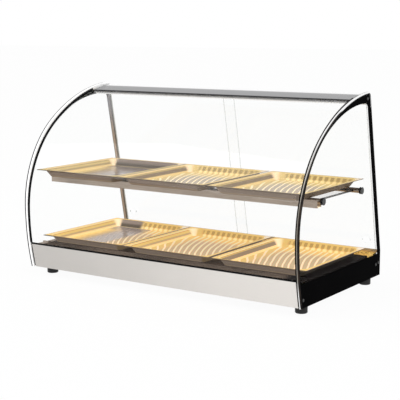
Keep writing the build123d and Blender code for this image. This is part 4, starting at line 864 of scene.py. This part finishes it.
@dataclass(frozen=True)
class SideOutline:
    """Side view of the case: the arch, the crown and the leaning rear edge."""

    front_y: float = -0.231
    rear_y: float = 0.214
    base_z: float = 0.023
    bulge_z: float = 0.181
    crown_z: float = 0.501
    crown_y: float = 0.131
    lean_z: float = 0.088
    tuck: float = 0.0206
    crown_slope: float = math.radians(3.0)
    fullness: float = 0.9
    crown_radius: float = 0.010
    kink: float = 0.0004

    @property
    def crown(self) -> Vector:
        """Corner where the arch and the rear edge would meet."""
        return Vector((self.crown_y, self.crown_z))

    @property
    def crown_way(self) -> Vector:
        """Direction of the arch where it reaches the crown."""
        return Vector((math.cos(self.crown_slope), math.sin(self.crown_slope)))

    @property
    def lean(self) -> float:
        """Angle of the rear edge from upright, in radians."""
        return math.atan2(self.rear_y - self.crown_y, self.crown_z - self.lean_z)

    @property
    def setback(self) -> float:
        """How far from the crown's corner its rounding starts."""
        return self.crown_radius * math.tan((math.pi / 2.0 - self.lean + self.crown_slope) / 2.0)

    def shoulder(self, bulge: Vector) -> tuple[Vector, Vector]:
        """Finds where the two arcs over the bulge meet.

        Args:
            bulge: the foremost point of the outline.

        Returns:
            The point, and the arch's direction there.
        """
        up, along = Vector((0.0, 1.0)), self.crown_way
        chord = self.crown - bulge
        square = 2.0 * self.fullness * (up.dot(along) - 1.0)
        line = -2.0 * (chord.dot(up) + self.fullness * chord.dot(along))
        reach = abs((-line - math.sqrt(line * line - 4.0 * square * chord.dot(chord))) / (2.0 * square))
        lower, upper = bulge + up * reach, self.crown - along * (self.fullness * reach)
        return lower + (upper - lower) / (1.0 + self.fullness), (upper - lower).normalized()

    def arc(self, start: Vector, way: Vector, end: Vector, count: int) -> list[Station]:
        """Walks an arc that turns to the right, from a point and a direction to another point.

        Args:
            start: its first point.
            way: its direction there.
            end: its last point.
            count: how many steps it is divided into.

        Returns:
            The stations, the first one included and the last one left out.
        """
        inward = Vector((way.y, -way.x))
        chord = end - start
        radius = chord.dot(chord) / (2.0 * chord.dot(inward))
        centre = start + inward * radius
        first, last = start - centre, end - centre
        angle = math.atan2(first.x * last.y - first.y * last.x, first.dot(last))
        stations = []
        for step in range(count):
            turn = angle * step / count
            out = Vector((
                first.x * math.cos(turn) - first.y * math.sin(turn),
                first.x * math.sin(turn) + first.y * math.cos(turn),
            )) / radius
            place = centre + out * radius
            stations.append(Station(place.x, place.y, out.x, out.y))
        return stations

    def front(self) -> list[Station]:
        """Walks up the arch.

        Returns:
            The stations from the base to just before the crown's corner.
        """
        bulge = Vector((self.front_y, self.bulge_z))
        rise = self.bulge_z - self.base_z
        radius = (rise * rise + self.tuck * self.tuck) / (2.0 * self.tuck)
        foot = Vector((self.front_y + self.tuck, self.base_z))
        lean = math.asin(rise / radius)
        shoulder, way = self.shoulder(bulge)
        stations = self.arc(foot, Vector((-math.sin(lean), math.cos(lean))), bulge, 16)
        stations += self.arc(bulge, Vector((0.0, 1.0)), shoulder, 40)
        return stations + self.arc(shoulder, way, self.crown, 28)

    def rear(self) -> list[Station]:
        """Walks down the leaning edge and the upright one.

        Returns:
            The stations from the crown's rounding to the base.
        """
        down = Vector((math.sin(self.lean), -math.cos(self.lean)))
        end = self.crown + down * self.setback
        stations = self.arc(self.crown - self.crown_way * self.setback, self.crown_way, end, 10)
        foot = Vector((self.rear_y, self.lean_z))
        steps = 12
        for step in range(steps + 1):
            place = end + (foot - end) * (step / steps)
            stations.append(Station(place.x, place.y, math.cos(self.lean), math.sin(self.lean)))
        stations.append(Station(self.rear_y, self.lean_z - self.kink, 1.0, 0.0))
        stations.append(Station(self.rear_y, self.base_z, 1.0, 0.0))
        return stations

    def stations(self) -> list[Station]:
        """Walks the whole outline.

        Returns:
            The stations from the front foot to the rear one.
        """
        last_y = self.crown_y - self.setback - 0.001
        return [point for point in self.front() if point.y < last_y] + self.rear()


@dataclass(frozen=True)
class RoundedBar:
    """Bar with two rounded outer edges along the outline of one side: -1 is the left one, 1 the right one.

    It may be narrower and flatter down the rear edge, and stand higher over the outline at the crown.
    """

    name: str
    side: float
    inner_x: float
    outer_x: float
    rear_inner_x: float
    inside: float
    proud: float
    crown_proud: float
    rear_proud: float
    edge: float
    rise_z: Span = (0.16, 0.38)
    rear_y: Span = (0.122, 0.134)
    crown_z: float = 0.4
    corner_steps: int = 5

    def section(self, station: Station) -> list[Span]:
        """Draws the bar's section at a station.

        Args:
            station: the place on the outline.

        Returns:
            Its points, as distances from the middle plane and out of the outline.
        """
        rear = float(station.y > 0.0)
        if station.z > self.crown_z:
            rear = min(max((station.y - self.rear_y[0]) / (self.rear_y[1] - self.rear_y[0]), 0.0), 1.0)
        crown = min(max((station.z - self.rise_z[0]) / (self.rise_z[1] - self.rise_z[0]), 0.0), 1.0)
        inner = self.inner_x + (self.rear_inner_x - self.inner_x) * rear
        proud = self.proud + (self.crown_proud - self.proud) * crown
        proud += (self.rear_proud - proud) * rear
        edge = min(self.edge, (proud + self.inside) * 0.45)
        points = [(inner, -self.inside)]
        for centre, start in ((inner + edge, 180.0), (self.outer_x - edge, 90.0)):
            for step in range(self.corner_steps + 1):
                angle = math.radians(start - step * 90.0 / self.corner_steps)
                points.append((centre + edge * math.cos(angle), proud - edge + edge * math.sin(angle)))
        return points + [(self.outer_x, 0.0), (self.outer_x, -self.inside)]

    def build(self, stations: Sequence[Station]) -> bpy.types.Object:
        """Sweeps the section along part of the outline.

        Args:
            stations: where it passes.

        Returns:
            The bar, closed at both ends.
        """
        points, faces = [], []
        for station in stations:
            for x, out in self.section(station):
                y, z = station.y + station.out_y * out, station.z + station.out_z * out
                points.append((self.side * x, y, z))
        count = len(points) // len(stations)
        for row in range(len(stations) - 1):
            for column in range(count):
                near, far = row * count + column, row * count + (column + 1) % count
                faces.append((near, far, far + count, near + count))
        faces.append(tuple(range(count)))
        faces.append(tuple(reversed(range(len(points) - count, len(points)))))
        if self.side > 0.0:
            faces = [tuple(reversed(face)) for face in faces]
        return add_mesh(self.name, points, faces)


@dataclass(frozen=True)
class Studio:
    """Pale floor, soft lamps, white surroundings and the camera at the photograph's angle."""

    camera_place: Point = (1.5513, -2.3350, 0.6577)
    tilt: float = 80.97
    turn: float = 33.74
    lens: float = 96.97
    sensor: float = 36.0
    view_reach: float = 100.0
    floor_reach: float = 30.0
    plain_light: float = 0.8
    floor_glow: float = 0.95
    aim: Point = (0.0, 0.0, 0.25)

    def seen_rays(self, sheet: NodeSheet) -> Signal:
        """Tells what the eye, a mirror or a glass looks at from what only lights something.

        Args:
            sheet: the nodes.

        Returns:
            1 for what is looked at, else 0.
        """
        rays = sheet.add("LightPath", {}).outputs
        seen = sheet.maths("MAXIMUM", rays["Is Camera Ray"], rays["Is Glossy Ray"])
        return sheet.maths("MAXIMUM", seen, rays["Is Transmission Ray"])

    def build_camera(self) -> None:
        """Places the camera and makes it the scene's own."""
        lens = bpy.data.cameras.new("camera")
        lens.lens = self.lens
        lens.sensor_width = self.sensor
        lens.clip_end = self.view_reach
        camera = bpy.data.objects.new("camera", lens)
        camera.location = self.camera_place
        camera.rotation_euler = (math.radians(self.tilt), 0.0, math.radians(self.turn))
        bpy.context.scene.collection.objects.link(camera)
        bpy.context.scene.camera = camera

    def build_floor(self) -> None:
        """Lays the pale floor, which shows white but keeps the shadow."""
        reach = self.floor_reach
        corners = [(-reach, -reach, 0.0), (reach, -reach, 0.0), (reach, reach, 0.0), (-reach, reach, 0.0)]
        floor = add_mesh("floor", corners, [(0, 1, 2, 3)])
        material = bpy.data.materials.new("pale_floor")
        sheet = NodeSheet(material)
        tone = sheet.noise(1.5, 2.0)
        matt = sheet.draw("BsdfDiffuse", {"Color": sheet.mix(tone, (0.9, 0.9, 0.9), (0.94, 0.94, 0.94))})
        both = sheet.blend(self.seen_rays(sheet) * self.floor_glow, matt, sheet.draw("Emission", {}))
        sheet.add("OutputMaterial", {"Surface": both})
        floor.data.materials.append(material)

    def build_world(self) -> None:
        """Makes the surroundings: white to look at, a little dimmer as a light."""
        world = bpy.data.worlds.new("studio_world")
        bpy.context.scene.world = world
        sheet = NodeSheet(world)
        strength = self.seen_rays(sheet).span(self.plain_light, 1.0)
        white = sheet.draw("Background", {"Color": (1.0, 1.0, 1.0), "Strength": strength})
        sheet.add("OutputWorld", {"Surface": white})

    def build_lamp(self, name: str, place: Point, size: float, power: float) -> None:
        """Hangs one soft lamp that looks at the case.

        Args:
            name: its name.
            place: where it hangs.
            size: its side in metres.
            power: its power in watts.
        """
        lamp = bpy.data.lights.new(name, "AREA")
        lamp.size = size
        lamp.energy = power
        holder = bpy.data.objects.new(name, lamp)
        holder.location = place
        holder.rotation_euler = (Vector(self.aim) - Vector(place)).to_track_quat("-Z", "Y").to_euler()
        bpy.context.scene.collection.objects.link(holder)

    def build(self) -> None:
        """Builds the studio and sets how the picture is shown."""
        scene = bpy.context.scene
        scene.view_settings.view_transform = "Standard"
        scene.cycles.transparent_max_bounces = 40
        self.build_camera()
        self.build_floor()
        self.build_world()
        self.build_lamp("key", (-2.2, -2.4, 3.0), 2.6, 55.0)
        self.build_lamp("fill", (3.2, -1.2, 1.8), 2.4, 16.0)
        log.info("studio built")


@dataclass(frozen=True)
class TrimSide:
    """What the polished trim and the seal along its inner edge have on one side only, their painted
    reflections and painted seal shade included.
    """

    name: str
    sign: float
    finish: Finish
    black: Colour
    dusty: Colour
    outer_x: float
    crown_proud: float
    edge: float
    seal_x: float


@dataclass
class Shell:
    """Base, side plates, trims and top cover."""

    outline: SideOutline = SideOutline()
    trim_inner_x: float = 0.4066
    trim_rear_inner_x: float = 0.4096
    seal_outer_x: float = 0.40655
    glazed_from_z: float = 0.0895
    glazed_to_y: float = 0.05
    trim_sides: tuple[TrimSide, ...] = (
        # painted light and shade: each side has its own painted trim reflections, and the left seal is
        # painted lighter than the right one, though both are the same black seal
        TrimSide(
            "left", -1.0, LeftTrim(), (0.035, 0.035, 0.038), (0.05, 0.05, 0.052),
            outer_x=0.4158, crown_proud=0.0066, edge=0.0012, seal_x=0.4055,
        ),
        TrimSide(
            "right", 1.0, RightTrim(), (0.004, 0.004, 0.004), (0.01, 0.01, 0.01),
            outer_x=0.4135, crown_proud=0.0036, edge=0.0025, seal_x=0.4038,
        ),
    )

    def dress(self) -> None:
        """Gives each node of the shell its finish."""
        plate = EndPanel("black_panel", self.outline.rear_y, self.outline.lean_z)
        dress(plate, "side_plate_left", "side_plate_right")
        tones = (0.72, 0.69, 0.655), (0.695, 0.665, 0.63)
        # the front panel grows lighter from the left end to the right: painted light
        front = BrushedMetal("front_steel", *tones, Axis.X, 0.42, 0.3, 0.00002, 0.7, (0.8, 1.12))
        dress(front, "front_panel")
        dress(BrushedMetal("rear_steel", (0.55, 0.54, 0.52), (0.42, 0.41, 0.4), Axis.X, 0.36), "rear_panel")
        tones = (0.31, 0.31, 0.315), (0.27, 0.27, 0.275)
        # the cover gets painted light across it, and a painted sheen on its top behind y 0.092 for the
        # reflection on its rear fold
        cover = BrushedMetal("cover_steel", *tones, Axis.X, 0.4, 0.4, 0.00002, 0.6, (0.95, 1.0), 0.092)
        dress(cover, "top_cover")
        dress(BrushedMetal("pan_steel", (0.5, 0.51, 0.52), (0.36, 0.37, 0.38), Axis.Y, 0.42), "base_pan")
        block = BrushedMetal("block_aluminium", (0.3, 0.28, 0.26), (0.2, 0.19, 0.18), Axis.Z, 0.4)
        dress(block, "corner_block_left", "corner_block_right")
        dress(BrushedMetal("rail_aluminium", (0.42, 0.4, 0.38), (0.3, 0.29, 0.27), Axis.X, 0.36), "top_rail")
        screw = BrushedMetal("screw_steel", (0.5, 0.5, 0.5), (0.3, 0.3, 0.3), Axis.Z, 0.3)
        dress(screw, "foot_screws", "foot_nuts")
        dark_screw = BrushedMetal("black_screw", (0.04, 0.04, 0.04), (0.02, 0.02, 0.02), Axis.Z, 0.45, 0.4)
        dress(dark_screw, "side_screws")
        dress(Satin("foot_rubber", (0.012, 0.012, 0.012), (0.03, 0.029, 0.028), 0.5, 0.35, 1400.0), "feet")
        for side in self.trim_sides:
            self.build_trim(side)

    def build_trim(self, own: TrimSide) -> None:
        """Builds one side's polished trim, and the black seal beside the front glass.

        Args:
            own: which side, and what is its own.
        """
        side = own.name
        polish = dress(own.finish, "edge_trim_" + side)
        black = Satin(side + "_seal", own.black, own.dusty, 0.5, 0.5, index=1.1).material()
        whole = self.outline.stations()
        bar = RoundedBar(
            "trim_bar_" + side, own.sign, self.trim_inner_x, own.outer_x, self.trim_rear_inner_x,
            inside=0.0025, proud=0.0016, crown_proud=own.crown_proud, rear_proud=0.0002, edge=own.edge,
        )
        trim = bar.build(whole)
        trim.data.materials.append(polish)
        trim.data.materials.append(black)
        columns = len(trim.data.vertices) // len(whole)
        under_outer_edge = columns - 2
        for face in trim.data.polygons[: columns * (len(whole) - 1)]:
            face.material_index = int(face.index % columns == under_outer_edge)
        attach(trim, CASE_BODY)
        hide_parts("edge_trim_" + side)

        glazed = [spot for spot in whole if spot.z > self.glazed_from_z and spot.y < self.glazed_to_y]
        seal = RoundedBar(
            "trim_seal_" + side, own.sign, own.seal_x, self.seal_outer_x, own.seal_x,
            inside=0.0024, proud=0.0010, crown_proud=0.0036, rear_proud=0.0003, edge=0.0006,
            rise_z=(0.41, 0.49),
        )
        bead = seal.build(glazed)
        bead.data.materials.append(black)
        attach(bead, CASE_BODY)
        for piece in (trim, bead):
            piece.data.shade_smooth()
            log.info("built %s", piece.name)


@dataclass
class Glazing:
    """Curved front glass, side glasses and their gaskets."""

    def dress(self) -> None:
        """Gives each glass and gasket its finish."""
        tint = (0.5, 0.56, 0.53)
        dress(ClearGlass("front_glass", tint, Cut.SIDES, 0.3), "front_glass")
        side = ClearGlass("side_glass", tint, Cut.ROUND_UPRIGHT, 0.2, 0.08, 0.001)
        dress(side, "side_glass_left", "side_glass_right")
        black, dusty = (0.004, 0.004, 0.0045), (0.009, 0.009, 0.009)
        gasket = Satin("gasket_rubber", black, dusty, 0.5, 0.5, skin=1200.0, index=1.1)
        dress(gasket, "front_glass_sill", "front_glass_gaskets")
        dress(CoverStrip("cover_strip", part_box("top_cover_gasket")[0][1]), "top_cover_gasket")


@dataclass
class RearDoors:
    """Two sliding glass doors, their finger pulls and tracks."""

    def dress(self) -> None:
        """Gives doors, pulls and tracks their finish."""
        dress(ClearGlass("door_glass", (0.42, 0.5, 0.46), Cut.SIDES, 0.4), "door_left", "door_right")
        pull = ClearGlass("clear_pull", (0.85, 0.87, 0.86), Cut.ROUND_REAR, 0.02, 0.05, 0.0)
        dress(pull, "door_pull_left", "door_pull_right")
        seal = ClearGlass("clear_seal", (0.85, 0.85, 0.84), Cut.ROUND_UPRIGHT, 0.15, 0.15, 0.01)
        dress(seal, "door_bumpers")
        # painted light: the bottom track's aluminium is gold with the pool of lamp light behind the lower
        # trays
        track = BrushedMetal("track_aluminium", (0.8, 0.62, 0.34), (0.6, 0.44, 0.22), Axis.X, 0.38, 0.4)
        dress(track, "door_track_bottom")
        rail = BrushedMetal("upper_track", (0.6, 0.59, 0.57), (0.45, 0.44, 0.43), Axis.X, 0.38, 0.8)
        dress(rail, "door_track_top")


@dataclass
class Shelf:
    """Glass shelf on two tubes."""

    def dress(self) -> None:
        """Gives shelf, tubes, discs and bolts their finish."""
        tube = BrushedMetal("tube_steel", (0.42, 0.35, 0.29), (0.27, 0.22, 0.18), Axis.X, 0.3, 0.8)
        dress(tube, "shelf_front_tube", "shelf_rear_tube")
        # painted shade: the shelf glass's cut edges are near black brown, unlike the other glass's green
        # tint
        dress(ClearGlass("shelf_glass", (0.03, 0.021, 0.015), Cut.ROUND_LEVEL, 0.95), "shelf_glass")
        disc = Satin("disc_rubber", (0.008, 0.008, 0.008), (0.02, 0.019, 0.018), 0.42, 0.4, index=1.15)
        dress(disc, "shelf_end_discs")
        dress(Satin("bolt_black", (0.015, 0.015, 0.016), (0.035, 0.035, 0.035), 0.35, 0.5), "shelf_bolts")


@dataclass
class Lamps:
    """Light rail under the shelf's front edge, crown light, boards, lenses and driver."""

    def dress(self) -> None:
        """Gives each part of the lamps its finish."""
        rail = BrushedMetal("light_rail", (0.47, 0.39, 0.32), (0.33, 0.27, 0.22), Axis.X, 0.34, 0.75)
        dress(rail, "shelf_light_rail")
        # painted light: the housing glows, though it is no lamp
        housing = Satin("white_housing", (0.97, 0.97, 0.97), (0.93, 0.93, 0.92), 0.4, 0.4, glow=0.25)
        dress(housing, "crown_light_housing")
        dress(LampBoard(), "light_boards")
        warm = Satin("warm_lens", (1.0, 0.85, 0.6), (0.95, 0.8, 0.55), 0.3, 0.5, 1500.0, glow=0.5)
        dress(warm, "shelf_light_lens")
        pale = Satin("pale_lens", (1.0, 0.99, 0.97), (0.97, 0.96, 0.94), 0.3, 0.5, 1500.0, glow=0.5)
        dress(pale, "crown_light_lens")
        dress(Satin("driver_case", (0.55, 0.55, 0.53), (0.42, 0.41, 0.39)), "lamp_driver")


@dataclass
class Deck:
    """Deck over the heater, with the stops that hold the lower trays."""

    def dress(self) -> None:
        """Gives deck and stops their finish."""
        dress(DeckMetal("deck_steel"), "deck_plate", "tray_stops")


@dataclass
class Heater:
    """Heating element, clips, insulation and thermostat under the deck."""

    def dress(self) -> None:
        """Gives each part of the heater its finish."""
        element = BrushedMetal("element_sheath", (0.12, 0.11, 0.13), (0.05, 0.045, 0.05), Axis.X, 0.5, 0.7)
        dress(element, "heating_element")
        dress(BrushedMetal("clip_steel", (0.5, 0.5, 0.5), (0.35, 0.35, 0.35), Axis.X, 0.35), "element_clips")
        pad = Satin("insulation", (0.6, 0.57, 0.48), (0.45, 0.42, 0.34), 0.9, 0.1, 260.0, 0.0006)
        dress(pad, "insulation_pad")
        plastic = Satin("control_plastic", (0.02, 0.02, 0.021), (0.04, 0.04, 0.04), shine=0.4)
        dress(plastic, "thermostat_body")
        shaft = BrushedMetal("shaft_metal", (0.55, 0.5, 0.4), (0.4, 0.36, 0.28), Axis.Y, 0.3)
        dress(shaft, "thermostat_bulb", "thermostat_shaft")
        dress(Satin("terminal_plastic", (0.7, 0.68, 0.62), (0.55, 0.53, 0.48), 0.4), "terminal_block")


@dataclass
class Controls:
    """Thermostat knob, rocker switches, indicator lamp and cable gland on the rear panel."""

    ticks: int = 11
    sweep: float = 270.0
    tick_gap: float = 0.0025
    tick_length: float = 0.003
    tick_width: float = 0.0008
    ink: float = 0.00015
    pointer_from: float = 0.35
    pointer_to: float = 0.85

    def build_stroke(self, name: str, middle: Vector, angle: float, reach: Span) -> bpy.types.Object:
        """Builds one printed stroke that points away from a centre.

        Args:
            name: its name.
            middle: the centre, on the face that the stroke is printed on.
            angle: its direction from the centre, in degrees from straight up.
            reach: how far from the centre it starts and ends.

        Returns:
            The stroke, shaded smooth.
        """
        way = Vector((math.sin(math.radians(angle)), 0.0, math.cos(math.radians(angle))))
        across = Vector((way.z, 0.0, -way.x)) * (self.tick_width / 2.0)
        near, far = (middle + way * distance for distance in reach)
        corners = [near - across, near + across, far + across, far - across]
        corners += [corner + Vector((0.0, self.ink, 0.0)) for corner in corners]
        faces = [(3, 2, 1, 0), (4, 5, 6, 7), (0, 1, 5, 4), (1, 2, 6, 5), (2, 3, 7, 6), (3, 0, 4, 7)]
        stroke = add_mesh(name, corners, faces)
        stroke.data.shade_smooth()
        return stroke

    def build_marks(self) -> None:
        """Prints the strokes round the thermostat knob, and the pointer on the knob."""
        ink = Satin("scale_ink", (0.02, 0.02, 0.02), (0.05, 0.05, 0.05), 0.5).material()
        pointer = Satin("pointer_ink", (0.8, 0.8, 0.79), (0.6, 0.6, 0.58), 0.5).material()
        low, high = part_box("thermostat_knob")
        middle = Vector(((low[0] + high[0]) / 2.0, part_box("rear_panel")[1][1], (low[2] + high[2]) / 2.0))
        radius = (high[0] - low[0]) / 2.0
        near = radius + self.tick_gap
        for index in range(self.ticks):
            angle = self.sweep * (index / (self.ticks - 1.0) - 0.5)
            stroke = self.build_stroke(f"dial_tick_{index}", middle, angle, (near, near + self.tick_length))
            stroke.data.materials.append(ink)
            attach(stroke, CASE_BODY)
        middle.y = high[1]
        reach = radius * self.pointer_from, radius * self.pointer_to
        mark = self.build_stroke("knob_pointer", middle, self.sweep / 2.0, reach)
        mark.data.materials.append(pointer)
        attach(mark, "thermostat_dial")
        log.info("printed %d strokes and the pointer", self.ticks)

    def dress(self) -> None:
        """Gives each control its finish."""
        plastic = Satin("knob_plastic", (0.018, 0.018, 0.019), (0.04, 0.04, 0.04), 0.4, 0.45)
        dress(plastic, "thermostat_knob", "switch_housings", "cable_gland")
        dress(Satin("power_rocker", (0.55, 0.02, 0.015), (0.4, 0.03, 0.02), 0.3, 0.5), "power_rocker")
        dress(Satin("light_rocker", (0.02, 0.02, 0.02), (0.04, 0.04, 0.04), 0.32, 0.5), "light_rocker")
        lens = Satin("lamp_lens", (0.9, 0.28, 0.03), (0.7, 0.2, 0.03), 0.2, 0.6, 1500.0, glow=0.25)
        dress(lens, "indicator_lamp")
        self.build_marks()


@dataclass
class Trays:
    """Six trays, three on the shelf and three on the deck."""

    leans: tuple[float, float, float] = (1.35, 1.15, 1.0)
    lights: tuple[LampLight, LampLight] = (
        LampLight(
            "upper", 0.18, outer_end_shade=(0.13, 0.095, 0.065), gold=(0.7, 0.53, 0.23),
            taupe=(0.48, 0.4, 0.31), deep=(0.4, 0.28, 0.12), bright=(0.97, 0.82, 0.56),
        ),
        LampLight(
            "lower", 0.6, outer_end_shade=(0.03, 0.023, 0.018), gold=(0.72, 0.495, 0.17),
            taupe=(0.5, 0.38, 0.222), deep=(0.46, 0.295, 0.1), bright=(1.0, 0.71, 0.47),
        ),
    )
    # painted shade on the ends of trays that face a neighbour; outward ends take their level's own
    inner_end_shade: Colour = (0.16, 0.11, 0.055)
    # painted reflections: the brown or amber band on the inner walls, up to low_band or tall_band
    brown: Colour = (0.27, 0.2, 0.13)
    amber: Colour = (0.5, 0.36, 0.18)
    low_band: float = 0.0095
    tall_band: float = 0.0132
    far_left: float = -1.0

    def dress(self) -> None:
        """Gives each tray the finish for where it stands under the lamps."""
        plain_left = {"upper_tray_left": 0.2, "lower_tray_left": 0.0}
        rear_lit = {"upper_tray_left": 0.2, "lower_tray_left": -0.025}
        for light in self.lights:
            for side, lean in zip(("left", "middle", "right"), self.leans):
                name = f"{light.level}_tray_{side}"
                low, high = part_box(name)
                plain = side == "left" or name == "lower_tray_middle"
                outer = side == "right" or light.level == "upper"
                metal = TrayMetal(
                    name,
                    low,
                    high,
                    light,
                    lean,
                    end=light.outer_end_shade if outer else self.inner_end_shade,
                    band=self.amber if plain else self.brown,
                    band_top=self.low_band if plain else self.tall_band,
                    plain_left=plain_left.get(name, self.far_left),
                    rear_lit=rear_lit.get(name, self.far_left),
                )
                dress(metal, name)


def main() -> None:
    """Builds the studio and dresses each sub-assembly in order."""
    Studio().build()
    for part in (Shell(), Glazing(), RearDoors(), Shelf(), Lamps(), Deck(), Heater(), Controls(), Trays()):
        part.dress()
        log.info("%s done", type(part).__name__)


if __name__ == "__main__":
    logging.basicConfig(level=logging.INFO)
    main()
